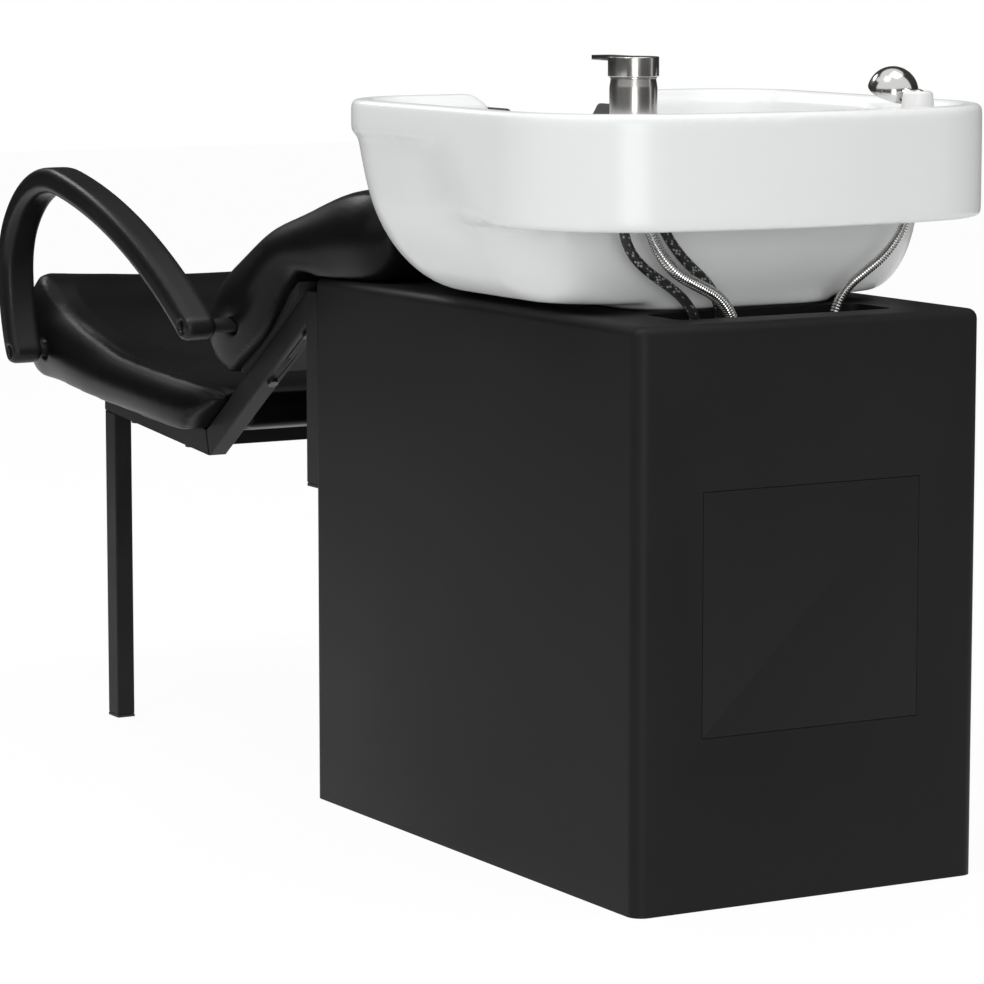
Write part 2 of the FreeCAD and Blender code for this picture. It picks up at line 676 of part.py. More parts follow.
def drain_nut():
    start = V(0, DRAIN_Y, FOOT_BOTTOM - SEAL_THICK - WASTE_NUT_HEIGHT)
    nut = hexagon_prism(WASTE_NUT_DIAMETER - 8, start, WASTE_NUT_HEIGHT)
    return nut.cut(cylinder(TAIL_DIAMETER, start - Z_AXIS, WASTE_NUT_HEIGHT + 2))


TAIL_END = BOWL_FLOOR - FLANGE_THICK - TAIL_LENGTH
TRAP_TOP = TAIL_END + 14.0
TRAP_JOIN = TRAP_TOP - TRAP_BODY_HEIGHT
WASTE_PIPE_Z = TRAP_JOIN + TRAP_BODY_HEIGHT * 0.45


def trap_body():
    start = V(0, DRAIN_Y, TRAP_JOIN)
    body = cylinder(TRAP_DIAMETER, start, TRAP_BODY_HEIGHT)
    rim = [e for e in body.Edges if e.BoundBox.ZMin > TRAP_TOP - 0.1 and len(e.Vertexes) == 1]
    body = body.makeFillet(8.0, rim)
    hollow = cylinder(TRAP_DIAMETER - 2 * TRAP_WALL, start - Z_AXIS, TRAP_BODY_HEIGHT - 9)
    inlet = cylinder(TAIL_DIAMETER, start, TRAP_BODY_HEIGHT + 1)
    outlet = cylinder(WASTE_PIPE_DIAMETER, V(0, DRAIN_Y, WASTE_PIPE_Z), TRAP_DIAMETER, -Y_AXIS)
    return body.cut([hollow, inlet, outlet])


def trap_cup():
    start = V(0, DRAIN_Y, TRAP_JOIN - TRAP_CUP_HEIGHT)
    cup = cylinder(TRAP_DIAMETER, start, TRAP_CUP_HEIGHT)
    base = [e for e in cup.Edges if e.BoundBox.ZMax < start.z + 0.1 and len(e.Vertexes) == 1]
    cup = cup.makeFillet(10.0, base)
    return cup.cut(cylinder(TRAP_DIAMETER - 2 * TRAP_WALL, start + Z_AXIS * TRAP_WALL, TRAP_CUP_HEIGHT))


def waste_pipe():
    start = V(0, DRAIN_Y - TRAP_DIAMETER / 2 + TRAP_WALL, WASTE_PIPE_Z)
    corner = V(0, start.y - WASTE_PIPE_REACH, WASTE_PIPE_Z)
    bend = WASTE_PIPE_BEND
    turn = math.sqrt(0.5)
    middle = corner + V(0, bend * (1 - turn), -bend * (1 - turn))
    path = Part.Wire([
        line_edge(start, corner + Y_AXIS * bend),
        arc_edge(corner + Y_AXIS * bend, middle, corner - Z_AXIS * bend),
        line_edge(corner - Z_AXIS * bend, V(0, corner.y, WASTE_PIPE_FLOOR_GAP)),
    ])
    radius = WASTE_PIPE_DIAMETER / 2
    outer, inner = [
        path.makePipeShell([Part.Wire(Part.makeCircle(size, start, Y_AXIS))], True, False)
        for size in (radius, radius - WASTE_PIPE_WALL)
    ]
    return outer.cut(inner)


# Mixer tap
MIXER_BASE = DECK_TOP + GASKET_THICK
MIXER_TOP = MIXER_BASE + MIXER_BODY_HEIGHT + MIXER_TAPER_HEIGHT
COLLAR_TOP = MIXER_TOP + SLIDE_GAP + MIXER_GROOVE
CAP_BOTTOM = COLLAR_TOP + SLIDE_GAP
MIXER_HOSES = {"hot": V(9.5, 1, 0), "cold": V(-10.5, 1, 0), "outlet": V(0, -9.5, 0)}


def mixer_axis(z):
    return V(MIXER_X, MIXER_Y, z)


def mixer_gasket():
    return ring(MIXER_DIAMETER - 2, MIXER_HOLE, mixer_axis(DECK_TOP), GASKET_THICK)


def mixer_body():
    body = cylinder(MIXER_DIAMETER, mixer_axis(MIXER_BASE), MIXER_BODY_HEIGHT)
    taper = Part.makeCone(
        MIXER_DIAMETER / 2,
        MIXER_TAPER_DIAMETER / 2,
        MIXER_TAPER_HEIGHT,
        mixer_axis(MIXER_BASE + MIXER_BODY_HEIGHT),
        Z_AXIS,
    )
    seat = cylinder(CARTRIDGE_DIAMETER, mixer_axis(MIXER_TOP - CARTRIDGE_HEIGHT), CARTRIDGE_HEIGHT + 1)
    stud = cylinder(STUD_DIAMETER, mixer_axis(MIXER_BASE - 1) + Y_AXIS * STUD_OFFSET, 9)
    return body.fuse(taper).cut([seat, stud])


def mixer_cartridge():
    base = mixer_axis(MIXER_TOP - CARTRIDGE_HEIGHT)
    bore = cylinder(SPINDLE_DIAMETER + 2 * 0.05, base + Z_AXIS * 6, CARTRIDGE_HEIGHT)
    return cylinder(CARTRIDGE_DIAMETER - 2 * 0.05, base, CARTRIDGE_HEIGHT).cut(bore)


def mixer_spindle():
    shaft_low = MIXER_TOP - CARTRIDGE_HEIGHT + 6 + SLIDE_GAP
    shaft = cylinder(SPINDLE_DIAMETER, mixer_axis(shaft_low), COLLAR_TOP + SPINDLE_POST - shaft_low)
    collar_diameter = CAP_DIAMETER - 2 * CAP_WALL + CAP_SEAT
    collar = cylinder(collar_diameter, mixer_axis(MIXER_TOP + SLIDE_GAP), MIXER_GROOVE)
    return collar.fuse(shaft)


def mixer_handle():
    cap = cylinder(CAP_DIAMETER, mixer_axis(CAP_BOTTOM), CAP_HEIGHT)
    rims = [e for e in cap.Edges if len(e.Vertexes) == 1]
    cap = cap.makeFillet(0.8, rims)
    hollow = cylinder(CAP_DIAMETER - 2 * CAP_WALL, mixer_axis(CAP_BOTTOM - 1), CAP_HEIGHT - LEVER_THICK + 1)
    top = CAP_BOTTOM + CAP_HEIGHT
    half = LEVER_WIDTH / 2
    tip = MIXER_Y - LEVER_REACH
    plate = box(MIXER_X - half, MIXER_X + half, tip, MIXER_Y, top - LEVER_THICK, top)
    corners = [
        e for e in plate.Edges
        if abs(e.tangentAt(e.FirstParameter).z) > 0.9 and e.BoundBox.YMax < tip + 1
    ]
    plate = plate.makeFillet(LEVER_WIDTH / 4, corners)
    return cap.cut(hollow).fuse(plate).removeSplitter()


def mixer_stud():
    top = MIXER_BASE + 8
    return cylinder(STUD_DIAMETER, mixer_axis(top - STUD_LENGTH) + Y_AXIS * STUD_OFFSET, STUD_LENGTH)


def mixer_clamp():
    plate = cylinder(2 * CLAMP_RADIUS, mixer_axis(LIP_BOTTOM - CLAMP_THICK), CLAMP_THICK)
    half = MIXER_HOLE / 2
    mouth = box(
        MIXER_X - half,
        MIXER_X + half,
        MIXER_Y - CLAMP_RADIUS - 1,
        MIXER_Y + STUD_OFFSET - STUD_DIAMETER / 2 - 1.5,
        LIP_BOTTOM - CLAMP_THICK - 1,
        LIP_BOTTOM + 1,
    )
    low = mixer_axis(LIP_BOTTOM - CLAMP_THICK - 1) + Y_AXIS * STUD_OFFSET
    stud = cylinder(STUD_DIAMETER + HOLE_GAP, low, CLAMP_THICK + 2)
    return plate.cut([mouth, stud])


def mixer_nut():
    start = mixer_axis(LIP_BOTTOM - CLAMP_THICK - 6) + Y_AXIS * STUD_OFFSET
    return hexagon_prism(10.0, start, 6.0).cut(cylinder(STUD_DIAMETER, start - Z_AXIS, 8.0))


# Hand shower
def shower_axis(z):
    return V(SHOWER_X, SHOWER_Y, z)


def shower_holder():
    """A round socket with a nut's shank below and a slot ahead that lets the shower's neck out."""
    radii = (HOLDER_DIAMETER / 2, HOLDER_TOP_DIAMETER / 2)
    cone = Part.makeCone(*radii, HOLDER_HEIGHT, shower_axis(DECK_TOP), Z_AXIS)
    rims = [e for e in cone.Edges if e.BoundBox.ZMin > DECK_TOP + HOLDER_HEIGHT - 0.1]
    cone = cone.makeFillet(HOLDER_ROUND, rims)
    shank = cylinder(HOLDER_SHANK, shower_axis(DECK_TOP - HOLDER_SHANK_LENGTH), HOLDER_SHANK_LENGTH)
    bore = cylinder(
        SHOWER_STEM + 2 * SLIDE_GAP,
        shower_axis(DECK_TOP - HOLDER_SHANK_LENGTH - 1),
        HOLDER_SHANK_LENGTH + HOLDER_HEIGHT + 2,
    )
    slot_half = SHOWER_NECK / 2 + 2 * SLIDE_GAP
    slot = box(
        SHOWER_X - slot_half, SHOWER_X + slot_half,
        SHOWER_Y - HOLDER_DIAMETER, SHOWER_Y,
        ELBOW_Z - slot_half, DECK_TOP + HOLDER_HEIGHT + 1,
    )
    return cone.fuse(shank).cut([bore, slot])


def holder_nut():
    start = shower_axis(LIP_BOTTOM - HOLDER_NUT_HEIGHT)
    nut = hexagon_prism(HOLDER_NUT_DIAMETER - 6, start, HOLDER_NUT_HEIGHT)
    return nut.cut(cylinder(HOLDER_SHANK, start - Z_AXIS, HOLDER_NUT_HEIGHT + 2))


STEM_LOW = DECK_TOP + HOLDER_HEIGHT - SHOWER_STEM_DEPTH
HEAD_CENTRE = V(SHOWER_X, SHOWER_Y - SHOWER_HEAD_FORWARD, SHOWER_HEAD_TOP - SHOWER_HEAD_DIAMETER / 2)
FACE_AXIS = V(0, -math.cos(math.radians(SHOWER_TILT)), -math.sin(math.radians(SHOWER_TILT)))


def shower_body():
    """A half-round head on a short neck, elbow and stem, hollowed where the spray plate sits."""
    head = Part.makeSphere(SHOWER_HEAD_DIAMETER / 2, HEAD_CENTRE)
    beyond = cylinder(SHOWER_HEAD_DIAMETER + 4, HEAD_CENTRE, SHOWER_HEAD_DIAMETER, FACE_AXIS)
    seat = cylinder(SHOWER_FACE_DIAMETER + 0.4, HEAD_CENTRE - FACE_AXIS * SHOWER_FACE_THICK, 10, FACE_AXIS)
    elbow = Part.makeSphere(SHOWER_STEM / 2, shower_axis(ELBOW_Z))
    reach = HEAD_CENTRE - shower_axis(ELBOW_Z)
    neck = cylinder(SHOWER_NECK, shower_axis(ELBOW_Z), reach.Length - SHOWER_NECK, reach)
    stem = cylinder(SHOWER_STEM, shower_axis(STEM_LOW), ELBOW_Z - STEM_LOW)
    return head.cut(beyond).fuse([neck, elbow, stem]).cut(seat)


def shower_face():
    start = HEAD_CENTRE - FACE_AXIS * SHOWER_FACE_THICK
    plate = cylinder(SHOWER_FACE_DIAMETER, start, SHOWER_FACE_THICK, FACE_AXIS)
    along = FACE_AXIS.cross(X_AXIS)
    nozzles = []
    for count, radius in ((1, 0.0), (6, 6.5), (12, 13.0)):
        for i in range(count):
            angle = 2 * math.pi * i / count
            place = HEAD_CENTRE + X_AXIS * (radius * math.cos(angle)) + along * (radius * math.sin(angle))
            nozzles.append(cylinder(2.4, place - FACE_AXIS * 0.5, 1.5, FACE_AXIS))
    return plate.fuse(nozzles)


def shower_nut():
    start = shower_axis(STEM_LOW - SHOWER_NUT_LENGTH)
    return cylinder(SHOWER_NUT_DIAMETER, start, SHOWER_NUT_LENGTH)


# Hoses: each route is a list of points, rounded by the largest arcs that its runs allow
def over_top(x, ahead, rise):
    """A point above the cabinet, by its distance ahead of the cabinet's rear."""
    return V(x, CABINET_REAR - ahead, CABINET_HEIGHT + rise)


def in_cabinet(x, ahead, share):
    """A point in the cabinet, by its distance ahead of the rear and its share of the height."""
    return V(x, CABINET_REAR - ahead, CABINET_HEIGHT * share)


HOT_ROUTE = [
    mixer_axis(MIXER_BASE) + MIXER_HOSES["hot"],
    mixer_axis(MIXER_BASE - 38) + MIXER_HOSES["hot"],
    over_top(168, 79, 114),
    over_top(165, 85, 82),
    over_top(154, 86, 60),
    over_top(135, 86, 43),
    over_top(112, 86, 29),
    over_top(92, 87, 14),
    in_cabinet(78, 89, 0.9895),
    in_cabinet(72, 95, 0.9421),
    in_cabinet(72, 106, 0.8807),
    in_cabinet(78, 124, 0.7982),
    in_cabinet(88, 145, 0.7018),
    in_cabinet(96, 160, 0.5877),
    in_cabinet(100, 166, 0.4702),
    in_cabinet(100, 166, 0.3596),
]
COLD_ROUTE = [
    mixer_axis(MIXER_BASE) + MIXER_HOSES["cold"],
    mixer_axis(MIXER_BASE - 34) + MIXER_HOSES["cold"],
    over_top(137, 82, 126),
    over_top(123, 91, 98),
    over_top(106, 96, 73),
    over_top(87, 96, 51),
    over_top(66, 96, 34),
    over_top(51, 96, 16),
    in_cabinet(44, 98, 0.9877),
    in_cabinet(43, 104, 0.9386),
    in_cabinet(47, 115, 0.8772),
    in_cabinet(54, 131, 0.7982),
    in_cabinet(62, 149, 0.7018),
    in_cabinet(66, 162, 0.5895),
    in_cabinet(68, 167, 0.4737),
    in_cabinet(68, 167, 0.3649),
]
OUTLET_ROUTE = [
    mixer_axis(MIXER_BASE) + MIXER_HOSES["outlet"],
    mixer_axis(MIXER_BASE - 36) + MIXER_HOSES["outlet"],
    over_top(153, 82, 120),
    over_top(142, 76, 85),
    over_top(128, 76, 60),
    over_top(109, 76, 41),
    over_top(84, 76, 29),
    over_top(60, 77, 17),
    in_cabinet(43, 80, 0.9947),
    in_cabinet(34, 87, 0.9439),
    in_cabinet(29, 101, 0.8772),
    in_cabinet(26, 122, 0.7895),
    in_cabinet(24, 142, 0.6930),
    in_cabinet(24, 142, 0.6053),
]
SHOWER_HOSE_ROUTE = [
    OUTLET_ROUTE[-1] - Z_AXIS * COUPLING_LENGTH,
    in_cabinet(24, 142, 0.4772),
    in_cabinet(19, 145, 0.3965),
    in_cabinet(0, 150, 0.3193),
    in_cabinet(-33, 153, 0.2772),
    in_cabinet(-68, 151, 0.2947),
    in_cabinet(-92, 145, 0.3579),
    in_cabinet(-100, 136, 0.4474),
    in_cabinet(-99, 124, 0.5526),
    in_cabinet(-94, 111, 0.6632),
    in_cabinet(-86, 97, 0.7719),
    in_cabinet(-76, 84, 0.8702),
    in_cabinet(-69, 74, 0.9491),
    over_top(-71, 70, 1),
    over_top(-85, 69, 22),
    over_top(-107, 69, 36),
    over_top(-129, 68, 51),
    over_top(-146, 65, 72),
    over_top(-154, 59, 102),
    over_top(-157, 55, 136),
    V(SHOWER_X, SHOWER_Y, STEM_LOW - SHOWER_NUT_LENGTH),
]


def rounded_route(points):
    """Straight runs and tangent arcs through a hose's points, with the smallest arc radius."""
    edges = []
    last = points[0]
    smallest = 1e9
    for before, point, after in zip(points, points[1:], points[2:]):
        back = before - point
        on = after - point
        shorter = min(back.Length, on.Length)
        back.normalize()
        on.normalize()
        half_turn = (math.pi - back.getAngle(on)) / 2
        cut = 0.45 * shorter
        radius = cut / math.tan(half_turn)
        smallest = min(smallest, radius)
        first = point + back * cut
        second = point + on * cut
        inward = back + on
        inward.normalize()
        middle = point + inward * (radius / math.cos(half_turn) - radius)
        edges.append(line_edge(last, first))
        edges.append(arc_edge(first, middle, second))
        last = second
    edges.append(line_edge(last, points[-1]))
    return edges, smallest


def tube(edges, diameter, bore):
    """A hollow tube along joined edges."""
    path = Part.Wire(edges)
    start = edges[0].valueAt(edges[0].FirstParameter)
    axis = edges[0].tangentAt(edges[0].FirstParameter)
    outer, inner = [
        path.makePipeShell([Part.Wire(Part.makeCircle(size / 2, start, axis))], True, False)
        for size in (diameter, bore)
    ]
    return outer.cut(inner)


def stretch(edges, low, high):
    """The part of a route between two distances along it."""
    kept = []
    passed = 0.0
    for edge in edges:
        first = max(low - passed, 0.0)
        last = min(high - passed, edge.Length)
        if last - first > SHORTEST_EDGE:
            ends = [edge.getParameterByLength(distance) for distance in (first, last)]
            kept.append(edge.Curve.toShape(*ends))
        passed += edge.Length
    return kept


def rib_circle(edges, distance, radius):
    edge = stretch(edges, 0, distance)[-1]
    point = edge.valueAt(edge.LastParameter)
    axis = edge.tangentAt(edge.LastParameter)
    across = Y_AXIS - axis * axis.dot(Y_AXIS)
    circle = Part.Wire(Part.makeCircle(radius))
    circle.Placement = FreeCAD.Placement(point, FreeCAD.Rotation(across, axis.cross(across), axis, "ZXY"))
    return circle


def ribs(edges, diameter, bore, start):
    """The rings that stand out round the part of a metal hose that is in sight."""
    low = diameter / 2 - RIB_DEPTH
    high = diameter / 2
    end = start + RIB_COUNT * RIB_PITCH
    circles = []
    bores = []
    for i in range(RIB_COUNT):
        at = start + i * RIB_PITCH
        for share, radius in ((0.0, low), (0.25, high), (0.6, high), (0.85, low)):
            circles.append(rib_circle(edges, at + share * RIB_PITCH, radius))
        bores.append(rib_circle(edges, at, bore / 2))
    circles.append(rib_circle(edges, end, low))
    bores.append(rib_circle(edges, end, bore / 2))
    return Part.makeLoft(circles, True, True).cut(Part.makeLoft(bores, True, True))


def hose(name, points, diameter, rib_start=None):
    """A hollow hose along a route, ribbed on one stretch if it has a start for its ribs."""
    edges, smallest = rounded_route(points)
    length = Part.Wire(edges).Length
    bore = diameter - 2 * HOSE_WALL
    core = diameter
    if rib_start is None:
        solid = tube(edges, diameter, bore)
    else:
        core = diameter - 2 * RIB_DEPTH
        before = tube(stretch(edges, 0, rib_start), core, bore)
        after = tube(stretch(edges, rib_start + RIB_COUNT * RIB_PITCH, length), core, bore)
        solid = before.fuse([ribs(edges, diameter, bore, rib_start), after], FUSE_TOLERANCE)
    share = solid.Volume / (math.pi / 4 * (core**2 - bore**2) * length)
    print(f"{name}: length {length:.0f}, smallest radius {smallest:.0f}, volume share {share:.4f}")
    return solid


def hose_union(points):
    end = points[-1]
    nut = hexagon_prism(UNION_FLATS, end - Z_AXIS * UNION_LENGTH, UNION_LENGTH)
    return nut.cut(cylinder(UNION_BORE, end - Z_AXIS * (UNION_LENGTH + 1), UNION_BORE_DEPTH + 1))


def hose_coupling():
    end = OUTLET_ROUTE[-1]
    return cylinder(COUPLING_DIAMETER, end - Z_AXIS * COUPLING_LENGTH, COUPLING_LENGTH)


# Seat frame
def line_meet(slope_a, offset_a, slope_b, offset_b):
    """Where two lines z = offset + slope * y cross."""
    y = (offset_b - offset_a) / (slope_a - slope_b)
    return y, offset_a + slope_a * y


def frame_corner(depth):
    """The corner of the two rails, at a depth under their upper edges."""
    slope_seat = -math.tan(math.radians(SEAT_SLOPE))
    slope_back = math.tan(math.radians(BACK_SLOPE))
    offset_seat = CORNER_Z - slope_seat * CORNER_Y - depth / math.cos(math.radians(SEAT_SLOPE))
    offset_back = CORNER_Z - slope_back * CORNER_Y - depth / math.cos(math.radians(BACK_SLOPE))
    return line_meet(slope_seat, offset_seat, slope_back, offset_back)


def seat_rail_outline(wall):
    front = LEG_FRONT
    return (
        frame_corner(wall),
        (front, seat_plane(front) - seat_drop(wall)),
        (front, seat_plane(front) - seat_drop(TUBE_HEIGHT - wall)),
        frame_corner(TUBE_HEIGHT - wall),
    )


def back_rail_outline(wall):
    rear = BAR_FRONT
    return (
        frame_corner(wall),
        frame_corner(TUBE_HEIGHT - wall),
        (rear, back_plane(rear) - back_drop(TUBE_HEIGHT - wall)),
        (rear, back_plane(rear) - back_drop(wall)),
    )


def rail(outline):
    outer = side_prism(outline(0), FRAME_INNER, FRAME_OUTER)
    inner = side_prism(outline(TUBE_WALL), FRAME_INNER + TUBE_WALL, FRAME_OUTER - TUBE_WALL)
    return outer.cut(inner)


def leg():
    def outline(wall, low):
        front = LEG_FRONT + wall
        rear = LEG_REAR - wall
        return (
            (front, low),
            (rear, low),
            (rear, seat_plane(rear) - SEAT_DROP),
            (front, seat_plane(front) - SEAT_DROP),
        )

    outer = side_prism(outline(0, CAP_THICK), FRAME_INNER, FRAME_OUTER)
    inner = side_prism(outline(TUBE_WALL, CAP_THICK - 1), FRAME_INNER + TUBE_WALL, FRAME_OUTER - TUBE_WALL)
    return outer.cut(inner)


def mount_bar():
    outer = box(FRAME_INNER, FRAME_OUTER, BAR_FRONT, CABINET_FRONT, BAR_BOTTOM, BAR_TOP)
    inner = box(
        FRAME_INNER + TUBE_WALL,
        FRAME_OUTER - TUBE_WALL,
        BAR_FRONT + TUBE_WALL,
        CABINET_FRONT - TUBE_WALL,
        BAR_BOTTOM - 1,
        BAR_TOP + 1,
    )
    holes = [
        cylinder(BOLT_DIAMETER + HOLE_GAP, V(BAR_BOLT_X, BAR_FRONT - 1, z), TUBE_HEIGHT + 2, Y_AXIS)
        for z in BAR_BOLT_HEIGHTS
    ]
    return outer.cut([inner] + holes)


def end_cap(start, direction):
    """A plastic plug whose plate covers a tube end and whose core sits in the tube."""
    half_x = TUBE_WIDTH / 2
    half_y = TUBE_HEIGHT / 2
    inset = TUBE_WALL + SOFT_GAP
    plate = box(-half_x, half_x, -half_y, half_y, -CAP_THICK, 0)
    core = box(-half_x + inset, half_x - inset, -half_y + inset, half_y - inset, 0, CAP_PLUG)
    plug = plate.fuse(core)
    plug.Placement = FreeCAD.Placement(start, FreeCAD.Rotation(Z_AXIS, direction))
    return plug


def tube_caps():
    mid_leg = (LEG_FRONT + LEG_REAR) / 2
    mid_bar = (BAR_FRONT + CABINET_FRONT) / 2
    caps = [
        end_cap(V(FRAME_MIDDLE, mid_leg, CAP_THICK), Z_AXIS),
        end_cap(V(FRAME_MIDDLE, mid_bar, BAR_BOTTOM), Z_AXIS),
    ]
    return Part.makeCompound(caps + [mirrored(cap) for cap in caps])


def cross_tube(y):
    middle = seat_plane(y) - SEAT_DROP / 2
    half = CROSS_TUBE / 2
    inner = half - TUBE_WALL
    outer = box(-FRAME_INNER, FRAME_INNER, y - half, y + half, middle - half, middle + half)
    end = FRAME_INNER + 1
    return outer.cut(box(-end, end, y - inner, y + inner, middle - inner, middle + inner))


def bar_plates():
    half = BACK_PLATE_WIDTH / 2
    y = CABINET_FRONT + CABINET_WALL
    low = min(BAR_BOLT_HEIGHTS) - BACK_PLATE_MARGIN
    high = max(BAR_BOLT_HEIGHTS) + BACK_PLATE_MARGIN
    middle = min(FRAME_MIDDLE, CABINET_WIDTH / 2 - CABINET_WALL - half)
    plate = box(middle - half, middle + half, y, y + BACK_PLATE_THICK, low, high)
    for z in BAR_BOLT_HEIGHTS:
        hole = cylinder(BOLT_DIAMETER + HOLE_GAP, V(BAR_BOLT_X, y - 1, z), BACK_PLATE_THICK + 2, Y_AXIS)
        plate = plate.cut(hole)
    return Part.makeCompound([plate, mirrored(plate)])


def bar_bolts():
    bolts = []
    rear = CABINET_FRONT + CABINET_WALL + BACK_PLATE_THICK
    for x in (-BAR_BOLT_X, BAR_BOLT_X):
        for z in BAR_BOLT_HEIGHTS:
            start = V(x, BAR_FRONT - BOLT_HEAD_HEIGHT, z)
            head = cylinder(BOLT_HEAD_DIAMETER, start, BOLT_HEAD_HEIGHT, Y_AXIS)
            rod = cylinder(BOLT_DIAMETER, start, rear + BOLT_HEAD_HEIGHT + 4 - start.y, Y_AXIS)
            nut = cylinder(BOLT_HEAD_DIAMETER, V(x, rear, z), BOLT_HEAD_HEIGHT, Y_AXIS)
            bolts.append(head.fuse([rod, nut]))
    return Part.makeCompound(bolts)


# Seat and back boards, cushions and armrests
def seat_board():
    front = SEAT_BOARD_FRONT
    rear = SEAT_BOARD_REAR
    outline = (
        (front, seat_plane(front)),
        (rear, seat_plane(rear)),
        (rear, seat_plane(rear) + SEAT_PLY_RISE),
        (front, seat_plane(front) + SEAT_PLY_RISE),
    )
    return side_prism(outline, -SEAT_BOARD_HALF, SEAT_BOARD_HALF).cut(screw_holes("seat"))


def back_board():
    low = BACK_BOARD_LOW
    high = BACK_BOARD_HIGH
    outline = (
        (low, back_plane(low)),
        (high, back_plane(high)),
        (high, back_plane(high) + BACK_PLY_RISE),
        (low, back_plane(low) + BACK_PLY_RISE),
    )
    return side_prism(outline, -BACK_BOARD_HALF, BACK_BOARD_HALF).cut(screw_holes("back"))


def screw_places(board):
    """Points on the rails' upper edges and the way out of the rail there."""
    if board == "seat":
        normal = V(0, math.sin(math.radians(SEAT_SLOPE)), math.cos(math.radians(SEAT_SLOPE)))
        places = (SEAT_BOARD_REAR - SEAT_SCREW_REAR, LEG_REAR + SEAT_SCREW_FRONT)
        return [(V(FRAME_MIDDLE, y, seat_plane(y)), normal) for y in places]
    normal = V(0, -math.sin(math.radians(BACK_SLOPE)), math.cos(math.radians(BACK_SLOPE)))
    places = (BACK_BOARD_LOW + BACK_SCREW_LOW, BACK_BOARD_HIGH - BACK_SCREW_HIGH)
    return [(V(FRAME_MIDDLE, y, back_plane(y)), normal) for y in places]


def screw_holes(board):
    holes = [
        cylinder(SCREW_DIAMETER + HOLE_GAP, point, PLY_THICK - 2, normal)
        for point, normal in screw_places(board)
    ]
    return holes + [mirrored(hole) for hole in holes]


def rail_screws(board):
    screws = []
    for point, normal in screw_places(board):
        start = point - normal * (TUBE_HEIGHT + SCREW_HEAD_HEIGHT)
        head = cylinder(SCREW_HEAD, start, SCREW_HEAD_HEIGHT, normal)
        rod = cylinder(SCREW_DIAMETER, start, TUBE_HEIGHT + SCREW_HEAD_HEIGHT + PLY_THICK - 3, normal)
        screws.append(head.fuse(rod))
    return screws + [mirrored(screw) for screw in screws]


def drilled(plain_rail, board):
    """A rail with the holes that its board's screws pass through."""
    holes = [
        cylinder(SCREW_DIAMETER + HOLE_GAP, point - normal * (TUBE_HEIGHT + 1), TUBE_HEIGHT + 2, normal)
        for point, normal in screw_places(board)
    ]
    return plain_rail.cut(holes)


def arm_block(point, plane, slope, rise):
    """A hardwood block on a board, which takes one armrest bolt."""
    y, z = point
    half = ARM_BLOCK_LENGTH / 2
    angle = math.radians(slope)
    along = V(0, math.cos(angle), math.sin(angle))
    up = V(0, -math.sin(angle), math.cos(angle))
    foot_y = y + (z - plane(y) - rise) * math.sin(angle) * math.cos(angle)
    foot = V(0, foot_y, plane(foot_y) + rise)
    inner = ARM_BLOCK_OUTER - ARM_BLOCK_WIDTH
    corners = [
        foot - along * half,
        foot + along * half,
        foot + along * half + up * ARM_BLOCK_HEIGHT,
        foot - along * half + up * ARM_BLOCK_HEIGHT,
    ]
    block = side_prism([(p.y, p.z) for p in corners], inner, ARM_BLOCK_OUTER)
    return block.cut(cylinder(BOLT_DIAMETER, V(inner - 1, y, z), ARM_BLOCK_WIDTH + 2, X_AXIS))


def from_corner(place):
    behind, above = place
    return CORNER_Y + behind, CORNER_Z + above


ARM_INNER = ARM_OUTER - ARM_WIDTH
ARM_BLOCK_OUTER = BACK_BOARD_HALF
ARM_FRONT_POINT = from_corner(ARM_FRONT)
ARM_REAR_POINT = from_corner(ARM_REAR)
ARM_POINTS = (
    (ARM_FRONT_POINT, seat_plane, -SEAT_SLOPE, SEAT_PLY_RISE),
    (ARM_REAR_POINT, back_plane, BACK_SLOPE, BACK_PLY_RISE),
)


def arm_blocks():
    blocks = [arm_block(*place) for place in ARM_POINTS]
    return Part.makeCompound(blocks + [mirrored(block) for block in blocks])


def arm_spacers():
    length = ARM_INNER - ARM_BLOCK_OUTER
    spacers = [
        ring(ARM_SPACER_DIAMETER, BOLT_DIAMETER + HOLE_GAP, V(ARM_BLOCK_OUTER, y, z), length, X_AXIS)
        for y, z in (ARM_FRONT_POINT, ARM_REAR_POINT)
    ]
    return Part.makeCompound(spacers + [mirrored(spacer) for spacer in spacers])


def arm_bolts():
    bolts = []
    shoulder = ARM_OUTER - ARM_COUNTERBORE_DEPTH
    low = ARM_BLOCK_OUTER - ARM_BLOCK_WIDTH + 4
    for y, z in (ARM_FRONT_POINT, ARM_REAR_POINT):
        rod = cylinder(BOLT_DIAMETER, V(low, y, z), shoulder - low, X_AXIS)
        head = cylinder(BOLT_HEAD_DIAMETER, V(shoulder, y, z), BOLT_HEAD_HEIGHT, X_AXIS)
        bolts.append(rod.fuse(head))
    return Part.makeCompound(bolts + [mirrored(bolt) for bolt in bolts])


def tangent_arc(start, direction, end):
    """An arc from start along a direction to end, and its direction there."""
    chord = end - start
    toward = V(chord)
    toward.normalize()
    leave = toward * (2 * toward.dot(direction)) - direction
    bend = direction.getAngle(toward)
    bow = (direction - toward * toward.dot(direction))
    bow.normalize()
    middle = start + chord * 0.5 + bow * (chord.Length / 2 * math.tan(bend / 2))
    return arc_edge(start, middle, end), leave


